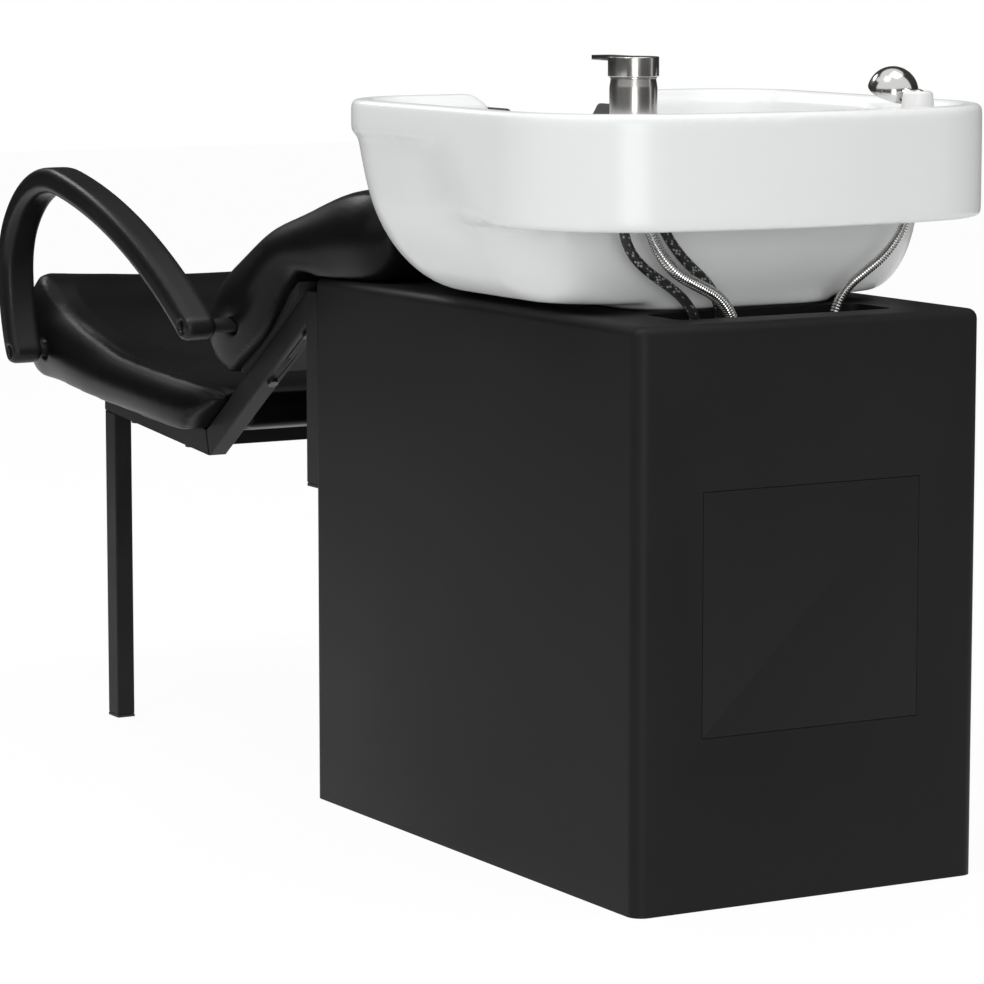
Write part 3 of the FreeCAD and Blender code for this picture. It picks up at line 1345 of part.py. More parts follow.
def armrest():
    """A moulded loop: a band of even thickness along tangent arcs, with round ends and edges."""
    places = [from_corner(place) for place in (ARM_REAR, *ARM_LOOP, ARM_FRONT)]
    points = [V(ARM_INNER, y, z) for y, z in places]
    first = Part.Arc(points[0], points[1], points[2])
    edges = [first.toShape()]
    direction = V(*first.tangent(first.LastParameter)[0])
    for start, end in zip(points[2:], points[3:]):
        edge, direction = tangent_arc(start, direction, end)
        edges.append(edge)
    outline = Part.Wire(edges).makeOffset2D(ARM_THICK / 2)
    band = Part.Face(outline).extrude(V(ARM_WIDTH, 0, 0))
    rims = [e for e in band.Edges if e.BoundBox.XLength < 0.1]
    band = band.makeFillet(ARM_ROUND, rims)
    for y, z in (ARM_FRONT_POINT, ARM_REAR_POINT):
        hole = cylinder(BOLT_DIAMETER + HOLE_GAP, V(ARM_INNER - 1, y, z), ARM_WIDTH + 2, X_AXIS)
        shoulder = V(ARM_OUTER - ARM_COUNTERBORE_DEPTH, y, z)
        seat = cylinder(ARM_COUNTERBORE, shoulder, ARM_COUNTERBORE_DEPTH + 1, X_AXIS)
        band = band.cut([hole, seat])
    return band


def cushion_section(low, high, half, crown, bulge, round_edge):
    """A section across a cushion: flat below, bowed sides and a crowned top."""
    up = high - low
    height = up.Length
    up.normalize()
    foot = half - bulge
    shoulder = half - round_edge

    def at(x, h):
        return V(x, 0, 0) + low + up * h

    return Part.Wire([
        line_edge(at(-foot, 0), at(foot, 0)),
        arc_edge(at(foot, 0), at(half, height * 0.5), at(shoulder, height)),
        arc_edge(at(shoulder, height), at(0, height + crown), at(-shoulder, height)),
        arc_edge(at(-shoulder, height), at(-half, height * 0.5), at(-foot, 0)),
    ])


def fixing_pockets(points):
    """The room that a cushion leaves for the armrest blocks and spacers."""
    pockets = []
    for place in points:
        y, z = place[0]
        block = arm_block(*place).fuse(cylinder(BOLT_DIAMETER, V(0, y, z), ARM_BLOCK_OUTER, X_AXIS))
        bounds = block.BoundBox
        inner = ARM_BLOCK_OUTER - ARM_BLOCK_WIDTH - SOFT_GAP
        pockets.append(box(
            inner,
            ARM_BLOCK_OUTER + SOFT_GAP,
            bounds.YMin - SOFT_GAP,
            bounds.YMax + SOFT_GAP,
            bounds.ZMin - 20,
            bounds.ZMax + SOFT_GAP,
        ))
        spacer = V(inner, y, z)
        pockets.append(cylinder(ARM_SPACER_DIAMETER + 2 * SOFT_GAP, spacer, ARM_INNER - inner, X_AXIS))
    return pockets + [mirrored(pocket) for pocket in pockets]


def seat_cushion():
    wires = []
    for behind, lift, side_top, middle_top, beside in SEAT_SECTIONS:
        y = CORNER_Y + behind
        low = V(0, y, seat_plane(y) + SOFT_GAP + lift)
        crown = middle_top - side_top
        high = V(0, y, CORNER_Z + side_top)
        half = FRAME_OUTER + beside
        wires.append(cushion_section(low, high, half, crown, SEAT_SIDE_BULGE, SEAT_EDGE_ROUND))
    pad = Part.makeLoft(wires, True, False)
    margin = SOFT_GAP
    outline = (
        (SEAT_BOARD_FRONT - margin, seat_plane(SEAT_BOARD_FRONT) - 20),
        (SEAT_BOARD_REAR + margin, seat_plane(SEAT_BOARD_REAR) - 20),
        (SEAT_BOARD_REAR + margin, seat_plane(SEAT_BOARD_REAR) + SEAT_PLY_RISE + margin),
        (SEAT_BOARD_FRONT - margin, seat_plane(SEAT_BOARD_FRONT) + SEAT_PLY_RISE + margin),
    )
    pocket = side_prism(outline, -SEAT_BOARD_HALF - margin, SEAT_BOARD_HALF + margin)
    rear = BACK_BOARD_HIGH
    lift = back_drop(margin)
    under_rail = (
        (CORNER_Y - margin, CORNER_Z - TUBE_HEIGHT),
        (rear, CORNER_Z - TUBE_HEIGHT),
        (rear, back_plane(rear) + lift),
        (CORNER_Y - margin, CORNER_Z + lift),
    )
    notch = side_prism(under_rail, FRAME_INNER - margin, ARM_INNER)
    return pad.cut([pocket, notch, mirrored(notch)] + fixing_pockets(ARM_POINTS[:1]))


def back_cushion():
    margin = SOFT_GAP
    wires = []
    for low_behind, low_above, high_behind, high_above, beside, crown in BACK_SECTIONS:
        low = V(0, CORNER_Y + low_behind, CABINET_HEIGHT)
        if low_above is not None:
            low.z = CORNER_Z + low_above
        elif low.y < BACK_BOARD_HIGH:
            low.z = back_plane(low.y) + back_drop(margin)
        high = V(0, CORNER_Y + high_behind, CORNER_Z + high_above)
        half = FRAME_OUTER + beside
        wires.append(cushion_section(low, high, half, crown, BACK_SIDE_BULGE, BACK_EDGE_ROUND))
    pad = Part.makeLoft(wires, True, False)
    low = BACK_BOARD_LOW - margin
    high = BACK_BOARD_HIGH + margin
    lift = BACK_PLY_RISE + back_drop(margin)
    outline = (
        (low, back_plane(low) - BACK_DROP),
        (high, back_plane(high) - BACK_DROP),
        (high, back_plane(high) + lift),
        (low, back_plane(low) + lift),
    )
    wide = ARM_INNER
    board = side_prism(outline, -BACK_BOARD_HALF - margin, BACK_BOARD_HALF + margin)
    cabinet = box(-wide, wide, BAR_FRONT - margin, RIM_REAR, BAR_BOTTOM, CABINET_HEIGHT + margin)
    return pad.cut([board, cabinet] + fixing_pockets(ARM_POINTS[1:]))


def both_sides(name, shape):
    return {f"{name}_left": shape, f"{name}_right": mirrored(shape)}


def build():
    parts = {
        "cabinet_shell": cabinet_shell(),
        "access_panel": access_panel(),
        "panel_magnets": panel_magnets(),
        "basin_board": basin_board(),
        "basin": basin(),
        "basin_rim": basin_rim(),
        "basin_apron": basin_apron(),
        "basin_gasket": basin_gasket(),
        "basin_bolts": basin_bolts(),
        "neck_rest": neck_rest(),
        "drain_flange": drain_flange(),
        "drain_strainer": drain_strainer(),
        "drain_seal": drain_seal(),
        "drain_nut": drain_nut(),
        "trap_body": trap_body(),
        "trap_cup": trap_cup(),
        "waste_pipe": waste_pipe(),
        "mixer_gasket": mixer_gasket(),
        "mixer_body": mixer_body(),
        "mixer_cartridge": mixer_cartridge(),
        "mixer_spindle": mixer_spindle(),
        "mixer_handle": mixer_handle(),
        "mixer_stud": mixer_stud(),
        "mixer_clamp": mixer_clamp(),
        "mixer_nut": mixer_nut(),
        "shower_holder": shower_holder(),
        "holder_nut": holder_nut(),
        "shower_body": shower_body(),
        "shower_face": shower_face(),
        "shower_nut": shower_nut(),
        "hot_hose": hose("hot_hose", HOT_ROUTE, SUPPLY_DIAMETER),
        "cold_hose": hose("cold_hose", COLD_ROUTE, SUPPLY_DIAMETER),
        "outlet_hose": hose("outlet_hose", OUTLET_ROUTE, OUTLET_DIAMETER, OUTLET_RIB_START),
        "shower_hose": hose("shower_hose", SHOWER_HOSE_ROUTE[::-1], SHOWER_HOSE_DIAMETER, SHOWER_RIB_START),
        "hot_union": hose_union(HOT_ROUTE),
        "cold_union": hose_union(COLD_ROUTE),
        "hose_coupling": hose_coupling(),
        "tube_caps": tube_caps(),
        "cross_tubes": Part.makeCompound([cross_tube(CROSS_FRONT_Y), cross_tube(CROSS_REAR_Y)]),
        "bar_plates": bar_plates(),
        "bar_bolts": bar_bolts(),
        "seat_board": seat_board(),
        "back_board": back_board(),
        "seat_screws": Part.makeCompound(rail_screws("seat")),
        "back_screws": Part.makeCompound(rail_screws("back")),
        "arm_blocks": arm_blocks(),
        "arm_spacers": arm_spacers(),
        "arm_bolts": arm_bolts(),
        "seat_cushion": seat_cushion(),
        "back_cushion": back_cushion(),
    }
    parts.update(both_sides("leg", leg()))
    parts.update(both_sides("seat_rail", drilled(rail(seat_rail_outline), "seat")))
    parts.update(both_sides("back_rail", drilled(rail(back_rail_outline), "back")))
    parts.update(both_sides("mount_bar", mount_bar()))
    parts.update(both_sides("armrest", armrest()))
    return parts


os.makedirs("parts", exist_ok=True)
for node, shape in build().items():
    shape.exportStep(f"parts/{node}.step")
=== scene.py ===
import math

import bmesh
import bpy
import numpy as np
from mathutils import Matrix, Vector


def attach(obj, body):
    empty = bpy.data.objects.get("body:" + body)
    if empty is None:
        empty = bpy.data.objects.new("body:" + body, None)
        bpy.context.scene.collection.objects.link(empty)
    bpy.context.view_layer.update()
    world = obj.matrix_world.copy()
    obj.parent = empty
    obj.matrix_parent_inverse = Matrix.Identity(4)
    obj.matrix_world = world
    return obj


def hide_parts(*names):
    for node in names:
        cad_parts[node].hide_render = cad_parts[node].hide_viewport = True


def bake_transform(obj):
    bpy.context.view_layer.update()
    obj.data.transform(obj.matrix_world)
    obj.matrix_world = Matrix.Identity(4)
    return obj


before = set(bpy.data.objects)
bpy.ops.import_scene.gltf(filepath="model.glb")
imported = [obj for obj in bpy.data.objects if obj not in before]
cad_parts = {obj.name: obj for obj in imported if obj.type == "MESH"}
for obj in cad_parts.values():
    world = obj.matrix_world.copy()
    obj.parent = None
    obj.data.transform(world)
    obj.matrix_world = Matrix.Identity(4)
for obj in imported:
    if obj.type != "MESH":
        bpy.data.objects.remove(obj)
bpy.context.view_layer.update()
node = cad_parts
scene = bpy.context.scene

# Cabinet: one black moulding with rounded edges, open below, that stands on the floor and hides
# the plumbing. A flush panel in its rear is held by magnets and pulls straight out.


def moulded_grain():
    """Slow shade changes and a fine surface grain, by the piece's own place in space."""
    group = bpy.data.node_groups.new("moulded_grain", "ShaderNodeTree")
    face = group.interface
    for name, default in (("Shade Scale", 6.0), ("Grain Scale", 900.0), ("Grain Depth", 0.1)):
        socket = face.new_socket(name, in_out="INPUT", socket_type="NodeSocketFloat")
        socket.default_value = default
    face.new_socket("Shade", in_out="OUTPUT", socket_type="NodeSocketFloat")
    face.new_socket("Normal", in_out="OUTPUT", socket_type="NodeSocketVector")
    nodes, links = group.nodes, group.links
    given = nodes.new("NodeGroupInput")
    out = nodes.new("NodeGroupOutput")
    place = nodes.new("ShaderNodeTexCoord")
    slow = nodes.new("ShaderNodeTexNoise")
    slow.inputs["Detail"].default_value = 4.0
    spread = nodes.new("ShaderNodeMapRange")
    spread.inputs["From Min"].default_value = 0.3
    spread.inputs["From Max"].default_value = 0.7
    fine = nodes.new("ShaderNodeTexNoise")
    fine.inputs["Detail"].default_value = 2.0
    bump = nodes.new("ShaderNodeBump")
    bump.inputs["Distance"].default_value = 0.0006
    links.new(place.outputs["Object"], slow.inputs["Vector"])
    links.new(place.outputs["Object"], fine.inputs["Vector"])
    links.new(given.outputs["Shade Scale"], slow.inputs["Scale"])
    links.new(given.outputs["Grain Scale"], fine.inputs["Scale"])
    links.new(given.outputs["Grain Depth"], bump.inputs["Strength"])
    links.new(slow.outputs["Fac"], spread.inputs["Value"])
    links.new(fine.outputs["Fac"], bump.inputs["Height"])
    links.new(spread.outputs["Result"], out.inputs["Shade"])
    links.new(bump.outputs["Normal"], out.inputs["Normal"])
    return group


grain = moulded_grain()


def new_material(name):
    """A fresh material, with its node tree and its shader."""
    material = bpy.data.materials.new(name)
    material.use_nodes = True
    return material, material.node_tree, material.node_tree.nodes["Principled BSDF"]


def tint(tree, shader, factor, dark, light):
    """The shader's colour, from dark to light by a factor."""
    colours = tree.nodes.new("ShaderNodeMix")
    colours.data_type = "RGBA"
    colours.inputs["A"].default_value = (*dark, 1.0)
    colours.inputs["B"].default_value = (*light, 1.0)
    tree.links.new(factor, colours.inputs["Factor"])
    tree.links.new(colours.outputs["Result"], shader.inputs["Base Color"])


def finish(
    name, dark, light, smooth, rough, shade_scale=6.0, grain_scale=900.0, grain_depth=0.1, **fixed
):
    """A material whose colour runs from dark to light, and its roughness too, over the grain."""
    material, tree, shader = new_material(name)
    surface = tree.nodes.new("ShaderNodeGroup")
    surface.node_tree = grain
    surface.inputs["Shade Scale"].default_value = shade_scale
    surface.inputs["Grain Scale"].default_value = grain_scale
    surface.inputs["Grain Depth"].default_value = grain_depth
    tint(tree, shader, surface.outputs["Shade"], dark, light)
    gloss = tree.nodes.new("ShaderNodeMapRange")
    gloss.inputs["To Min"].default_value = smooth
    gloss.inputs["To Max"].default_value = rough
    tree.links.new(surface.outputs["Shade"], gloss.inputs["Value"])
    tree.links.new(gloss.outputs["Result"], shader.inputs["Roughness"])
    tree.links.new(surface.outputs["Normal"], shader.inputs["Normal"])
    for socket, value in fixed.items():
        socket = socket.replace("_", " ").title().replace("Ior", "IOR")
        shader.inputs[socket].default_value = value
    return material


def dress(piece, material):
    """A piece in one material."""
    piece.data.materials.clear()
    piece.data.materials.append(material)


WELD = 1e-6
SHARP = math.radians(35.0)


def joined_mesh(*names):
    """The meshes of CAD nodes as one new mesh whose faces are joined at their edges."""
    shape = bmesh.new()
    for name in names:
        shape.from_mesh(node[name].data)
    bmesh.ops.remove_doubles(shape, verts=shape.verts, dist=WELD)
    for face in shape.faces:
        face.smooth = True
    mesh = bpy.data.meshes.new(names[0] + "_skin")
    shape.to_mesh(mesh)
    shape.free()
    return mesh


def stand_for(mesh, body, material, *names):
    """A new piece that takes the place of CAD nodes on their body."""
    piece = bpy.data.objects.new(names[0] + "_look", mesh)
    scene.collection.objects.link(piece)
    dress(piece, material)
    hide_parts(*names)
    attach(piece, body)
    return piece


def softened(name, body, material, edge):
    """A hard piece with its CAD shape and slightly rounded edges."""
    mesh = joined_mesh(name)
    mesh.set_sharp_from_angle(angle=SHARP)
    piece = stand_for(mesh, body, material, name)
    bevel = piece.modifiers.new("edge", "BEVEL")
    bevel.width = edge
    bevel.segments = 2
    bevel.limit_method = "ANGLE"
    bevel.angle_limit = SHARP
    bevel.harden_normals = True


cabinet_black = finish(
    "cabinet_black", dark=(0.010, 0.010, 0.0103), light=(0.013, 0.013, 0.0133),
    smooth=0.45, rough=0.55, shade_scale=3.0, grain_scale=1400.0, grain_depth=0.12,
    specular_ior_level=0.15,
)
softened("cabinet_shell", "unit", cabinet_black, edge=0.0008)
softened("access_panel", "panel", cabinet_black, edge=0.0008)
magnet_nickel = finish(
    "magnet_nickel", dark=(0.5, 0.5, 0.5), light=(0.6, 0.6, 0.58), smooth=0.25, rough=0.35,
    metallic=1.0,
)
dress(node["panel_magnets"], magnet_nickel)

# Board under the cabinet top: plain plywood that spreads the basin's weight, with the basin's
# bolts and a rubber gasket between the ceramic foot and the cabinet.


def plywood_grain(name, dark, light):
    """Long grain streaks along the sheet."""
    material, tree, shader = new_material(name)
    shader.inputs["Roughness"].default_value = 0.7
    place = tree.nodes.new("ShaderNodeTexCoord")
    squeeze = tree.nodes.new("ShaderNodeMapping")
    squeeze.inputs["Scale"].default_value = (60.0, 4.0, 60.0)
    streaks = tree.nodes.new("ShaderNodeTexNoise")
    streaks.inputs["Scale"].default_value = 2.0
    streaks.inputs["Detail"].default_value = 6.0
    tree.links.new(place.outputs["Object"], squeeze.inputs["Vector"])
    tree.links.new(squeeze.outputs["Vector"], streaks.inputs["Vector"])
    tint(tree, shader, streaks.outputs["Fac"], dark, light)
    return material


plywood = plywood_grain("plywood", dark=(0.36, 0.22, 0.11), light=(0.62, 0.45, 0.27))
soft_rubber = finish(
    "soft_rubber", dark=(0.010, 0.010, 0.010), light=(0.016, 0.016, 0.016),
    smooth=0.5, rough=0.65, grain_scale=1200.0, grain_depth=0.2,
)
zinc_steel = finish(
    "zinc_steel", dark=(0.5, 0.5, 0.51), light=(0.64, 0.64, 0.63), smooth=0.3, rough=0.45,
    shade_scale=40.0, metallic=1.0,
)
dress(node["basin_board"], plywood)
dress(node["basin_gasket"], soft_rubber)
dress(node["basin_bolts"], zinc_steel)

# Basin: white glazed ceramic, slip-cast in one piece. The glaze rounds every edge, so the rim, the
# apron round the rear and the foot all run into the hull without a sharp corner.
white_glaze = finish(
    "white_glaze", dark=(0.83, 0.84, 0.845), light=(0.87, 0.875, 0.875), smooth=0.2, rough=0.28,
    shade_scale=2.5, grain_scale=60.0, grain_depth=0.02, specular_ior_level=0.35,
)


def points_of(mesh):
    """A mesh's points as rows of x, y and z."""
    return np.array([v.co for v in mesh.vertices])


def set_points(mesh, points):
    """A mesh with its points moved to new places."""
    mesh.vertices.foreach_set("co", points.astype(np.float32).ravel())
    mesh.update()


def worn_skin(mesh, voxel, passes):
    """A mesh made over as one even, closed skin with its corners worn round."""
    rough = bpy.data.objects.new("rough", mesh)
    scene.collection.objects.link(rough)
    even = rough.modifiers.new("even", "REMESH")
    even.mode = "VOXEL"
    even.voxel_size = voxel
    even.use_smooth_shade = True
    worn = rough.modifiers.new("worn", "SMOOTH")
    worn.iterations = passes
    bpy.context.view_layer.update()
    made = rough.evaluated_get(bpy.context.evaluated_depsgraph_get())
    skin = bpy.data.meshes.new_from_object(made)
    bpy.data.objects.remove(rough)
    return skin


def evened(values, mesh, share, passes):
    """Values at a mesh's points, each drawn towards its neighbours' mean by its share."""
    ends = np.array([edge.vertices[:] for edge in mesh.edges])
    ends = ends[(share[ends] > 0).any(axis=1)]
    for _ in range(passes):
        total = values.copy()
        count = np.ones(len(values))
        for one, other in (ends.T, ends.T[::-1]):
            np.add.at(total, one, values[other])
            np.add.at(count, one, 1.0)
        values = values + (total / count[:, None] - values) * share[:, None]
    return values


def between(values, low, high, soft):
    """1 from low to high and 0 outside, with soft ramps at both ends."""
    return np.clip((values - low) / soft, 0.0, 1.0) * np.clip((high - values) / soft, 0.0, 1.0)


GLAZE_VOXEL = 0.003
# Half widths of the rim's face, of where the sides begin and of a place outside them all, and the
# heights of the rim's lip and of the apron's lower edge.
RIM_FACE, SIDE_START, OUTSIDE = 0.268, 0.2, 0.4
LIP_BOTTOM, APRON_BOTTOM = 0.735, 0.657
# Stretches of the sides, each with its low end, its high end and the ramp at both.
APRON_ENDS, APRON_HEIGHTS = (0.31, 0.525, 0.005), (APRON_BOTTOM - 0.002, LIP_BOTTOM + 0.004, 0.003)
FLANK_ENDS = (0.355, 0.525, 0.04)
TIP_ENDS, TIP_HEIGHTS = (0.385, 0.45, 0.02), (0.643, 0.68, 0.01)
# Where the apron begins and ends its rise from the hull under the lip, how much further back both
# lie at its lower edge, and where its solid starts.
RISE_START, RISE_END = 0.35, 0.445
START_LAG, END_LAG = 0.015, 0.07
SOLID_START = 0.409
# How far inside the hull's face a point is left alone, and what counts as a thin apron.
INSIDE_HULL, THIN_APRON = 0.002, 0.003


def side_patch(points, ends, heights):
    """1 at points of the basin's two sides between two ends and two heights, and 0 elsewhere."""
    share = (np.abs(points[:, 0]) > SIDE_START) * between(points[:, 1], *ends)
    return share * between(points[:, 2], *heights)


def fade_apron(points):
    """The points with the apron's ends drawn in, so that it rises slowly out of the hull."""
    sides = side_patch(points, APRON_ENDS, APRON_HEIGHTS)
    for i in np.flatnonzero(sides):
        x, y, z = points[i]
        side = math.copysign(1.0, x)
        outside, inward = (OUTSIDE * side, y, z), (-side, 0.0, 0.0)
        found, hull, *_ = node["basin"].ray_cast(outside, inward)
        covered, skirt, *_ = node["basin_apron"].ray_cast(outside, inward)
        if not found or abs(x) < abs(hull.x) - INSIDE_HULL or abs(hull.x) > RIM_FACE:
            continue
        depth = min(max((LIP_BOTTOM - z) / (LIP_BOTTOM - APRON_BOTTOM), 0.0), 1.0)
        first, last = RISE_START + START_LAG * depth, RISE_END + END_LAG * depth
        run = min(max((y - first) / (last - first), 0.0), 1.0)
        proud = (RIM_FACE - abs(hull.x)) * run * run * (3.0 - 2.0 * run)
        was = abs(skirt.x) - abs(hull.x) if covered and y > SOLID_START else 0.0
        share = min((abs(x) - abs(hull.x)) / was, 1.0) if was > THIN_APRON else 1.0
        points[i, 0] = x + (side * (abs(hull.x) + proud * share) - x) * sides[i]
    return points


casting = ("basin", "basin_rim", "basin_apron")
ceramic = worn_skin(joined_mesh(*casting), voxel=GLAZE_VOXEL, passes=10)
set_points(ceramic, fade_apron(points_of(ceramic)))
ceramic = worn_skin(ceramic, voxel=GLAZE_VOXEL, passes=4)
points = points_of(ceramic)
flank = side_patch(points, APRON_ENDS, APRON_HEIGHTS) * between(points[:, 1], *FLANK_ENDS)
points = evened(points, ceramic, flank, passes=20)
tip = side_patch(points, TIP_ENDS, TIP_HEIGHTS)
set_points(ceramic, evened(points, ceramic, tip, passes=25))
stand_for(ceramic, "unit", white_glaze, *casting)

# Neck rest: a soft rubber saddle, moulded in one piece, that is pressed into the notch in the
# basin's front wall and grips the ceramic on both sides.
saddle = worn_skin(joined_mesh("neck_rest"), voxel=0.0016, passes=5)
stand_for(saddle, "unit", soft_rubber, "neck_rest")

# Waste: a chromed flange and a loose strainer in the bowl. Below them a large nut, a white bottle
# trap with a cup that screws off, and the pipe down to the floor.
polished_chrome = finish(
    "polished_chrome", dark=(0.60, 0.595, 0.58), light=(0.66, 0.655, 0.64), smooth=0.12, rough=0.18,
    shade_scale=20.0, grain_depth=0.01, metallic=1.0,
)
white_plastic = finish(
    "white_plastic", dark=(0.74, 0.74, 0.73), light=(0.8, 0.8, 0.79), smooth=0.28, rough=0.36,
    shade_scale=12.0, grain_depth=0.04,
)
softened("drain_flange", "unit", polished_chrome, edge=0.0004)
softened("drain_strainer", "strainer", polished_chrome, edge=0.0004)
for name in ("drain_nut", "trap_body", "trap_cup", "waste_pipe"):
    dress(node[name], white_plastic)
dress(node["drain_seal"], soft_rubber)

# Mixer tap: a satin nickel body on the deck with a tapered ring, and a cap with a flat lever that
# turns for the warmth and lifts for the flow. A stud and a clamp plate hold it from below.
satin_nickel = finish(
    "satin_nickel", dark=(0.52, 0.51, 0.49), light=(0.58, 0.57, 0.55), smooth=0.2, rough=0.27,
    shade_scale=25.0, grain_depth=0.02, metallic=1.0,
)
softened("mixer_body", "unit", satin_nickel, edge=0.0005)
softened("mixer_spindle", "tap_swivel", satin_nickel, edge=0.0005)
softened("mixer_handle", "tap_lever", satin_nickel, edge=0.0005)
grey_plastic = finish(
    "grey_plastic", dark=(0.1, 0.1, 0.105), light=(0.14, 0.14, 0.145), smooth=0.4, rough=0.5,
    shade_scale=20.0,
)
dress(node["mixer_gasket"], soft_rubber)
dress(node["mixer_cartridge"], grey_plastic)
for name in ("mixer_stud", "mixer_clamp", "mixer_nut"):
    dress(node[name], zinc_steel)

# Hand shower: a chromed half-round head on a short stem, parked in a white plastic holder that a
# nut clamps to the deck. Its hose nut hangs below the stem.
softened("shower_holder", "unit", white_plastic, edge=0.0006)
dress(node["holder_nut"], white_plastic)
for name in ("shower_body", "shower_nut"):
    softened(name, "hand_shower", polished_chrome, edge=0.0005)
dress(node["shower_face"], grey_plastic)

# Hoses: two black braided supplies and two ribbed chrome hoses. They drop from the deck behind the
# basin's hull, go through the slot in the cabinet top and hang inside.
hot_route = [
    (0.1665, 0.596, 0.7615), (0.1665, 0.596, 0.7235), (0.168, 0.596, 0.684), (0.165, 0.590, 0.652),
    (0.154, 0.589, 0.630), (0.135, 0.589, 0.613), (0.112, 0.589, 0.599), (0.092, 0.588, 0.584),
    (0.078, 0.586, 0.564), (0.072, 0.580, 0.537), (0.072, 0.569, 0.502), (0.078, 0.551, 0.455),
    (0.088, 0.530, 0.400), (0.096, 0.515, 0.335), (0.100, 0.509, 0.268), (0.100, 0.509, 0.205),
]
cold_route = [
    (0.1465, 0.596, 0.7615), (0.1465, 0.596, 0.7275), (0.137, 0.593, 0.696), (0.123, 0.584, 0.668),
    (0.106, 0.579, 0.643), (0.087, 0.579, 0.621), (0.066, 0.579, 0.604), (0.051, 0.579, 0.586),
    (0.044, 0.577, 0.563), (0.043, 0.571, 0.535), (0.047, 0.560, 0.500), (0.054, 0.544, 0.455),
    (0.062, 0.526, 0.400), (0.066, 0.513, 0.336), (0.068, 0.508, 0.270), (0.068, 0.508, 0.208),
]
outlet_route = [
    (0.157, 0.5855, 0.7615), (0.157, 0.5855, 0.7255), (0.153, 0.593, 0.690), (0.142, 0.599, 0.655),
    (0.128, 0.599, 0.630), (0.109, 0.599, 0.611), (0.084, 0.599, 0.599), (0.060, 0.598, 0.587),
    (0.043, 0.595, 0.567), (0.034, 0.588, 0.538), (0.029, 0.574, 0.500), (0.026, 0.553, 0.450),
    (0.024, 0.533, 0.395), (0.024, 0.533, 0.345),
]
shower_route = [
    (0.024, 0.533, 0.315), (0.024, 0.533, 0.272), (0.019, 0.530, 0.226), (0.000, 0.525, 0.182),
    (-0.033, 0.522, 0.158), (-0.068, 0.524, 0.168), (-0.092, 0.530, 0.204), (-0.100, 0.539, 0.255),
    (-0.099, 0.551, 0.315), (-0.094, 0.564, 0.378), (-0.086, 0.578, 0.440), (-0.076, 0.591, 0.496),
    (-0.069, 0.601, 0.541), (-0.071, 0.605, 0.571), (-0.085, 0.606, 0.592), (-0.107, 0.606, 0.606),
    (-0.129, 0.607, 0.621), (-0.146, 0.610, 0.642), (-0.154, 0.616, 0.672), (-0.157, 0.620, 0.706),
    (-0.157, 0.620, 0.734),
]
HOSE_SIDES = 16
BRAID_STEP, RIB_STEP, RIB_DEPTH = 0.004, 0.0007, 0.0009
STRANDS_AROUND, STRANDS_PER_METRE, DARK_SHARE = 8.0, 220.0, 0.74


def hose_line(name, route):
    """The smooth line of a hose through its route, as points in order."""
    curve = bpy.data.curves.new(name + "_line", "CURVE")
    curve.dimensions = "3D"
    curve.resolution_u = 24
    spline = curve.splines.new("NURBS")
    spline.points.add(len(route) - 1)
    for point, place in zip(spline.points, route):
        point.co = (*place, 1.0)
    spline.order_u = 3
    spline.use_endpoint_u = True
    holder = bpy.data.objects.new(name + "_line", curve)
    scene.collection.objects.link(holder)
    mesh = bpy.data.meshes.new_from_object(holder)
    points = points_of(mesh)
    bpy.data.objects.remove(holder)
    bpy.data.meshes.remove(mesh)
    return points


def hose_tube(name, points, radii, step):
    """A tube along a line, whose rings take their radii in turn, and the line's length."""
    along = np.concatenate([[0.0], np.cumsum(np.linalg.norm(np.diff(points, axis=0), axis=1))])
    marks = np.linspace(0.0, along[-1], int(along[-1] / step) + 1)
    line = np.stack([np.interp(marks, along, points[:, k]) for k in range(3)], axis=1)
    heading = np.gradient(line, axis=0)
    heading /= np.linalg.norm(heading, axis=1)[:, None]
    side = Vector((0.0, 1.0, 0.0)) - Vector(heading[0]) * heading[0][1]
    turns = [2 * math.pi * k / HOSE_SIDES for k in range(HOSE_SIDES)]
    shape = bmesh.new()
    wrap = shape.loops.layers.uv.new("round_and_along")
    rings = []
    for i, (place, ahead) in enumerate(zip(line, heading)):
        ahead = Vector(ahead)
        side = (side - ahead * side.dot(ahead)).normalized()
        other = ahead.cross(side)
        radius = radii[i % len(radii)]
        spokes = [(side * math.cos(a) + other * math.sin(a)) * radius for a in turns]
        rings.append([shape.verts.new(Vector(place) + spoke) for spoke in spokes])
    for i, (ring, after) in enumerate(zip(rings, rings[1:])):
        for k in range(HOSE_SIDES):
            n = (k + 1) % HOSE_SIDES
            face = shape.faces.new((ring[k], ring[n], after[n], after[k]))
            face.smooth = True
            corners = ((k, i), (k + 1, i), (k + 1, i + 1), (k, i + 1))
            for loop, (u, v) in zip(face.loops, corners):
                loop[wrap].uv = (u / HOSE_SIDES, v * step)
    shape.faces.new(reversed(rings[0]))
    shape.faces.new(rings[-1])
    mesh = bpy.data.meshes.new(name + "_tube")
    shape.to_mesh(mesh)
    shape.free()
    return mesh, along[-1]


def reckon(tree, kind, first, second=0.0):
    """The result of one sum on two sockets or numbers."""
    step = tree.nodes.new("ShaderNodeMath")
    step.operation = kind
    for socket, value in zip(step.inputs, (first, second)):
        if isinstance(value, float):
            socket.default_value = value
        else:
            tree.links.new(value, socket)
    return step.outputs["Value"]


def strand(tree, slant):
    """The rounded height of slanted strands that lie side by side."""
    return reckon(tree, "ABSOLUTE", reckon(tree, "SINE", reckon(tree, "MULTIPLY", slant, math.pi)))


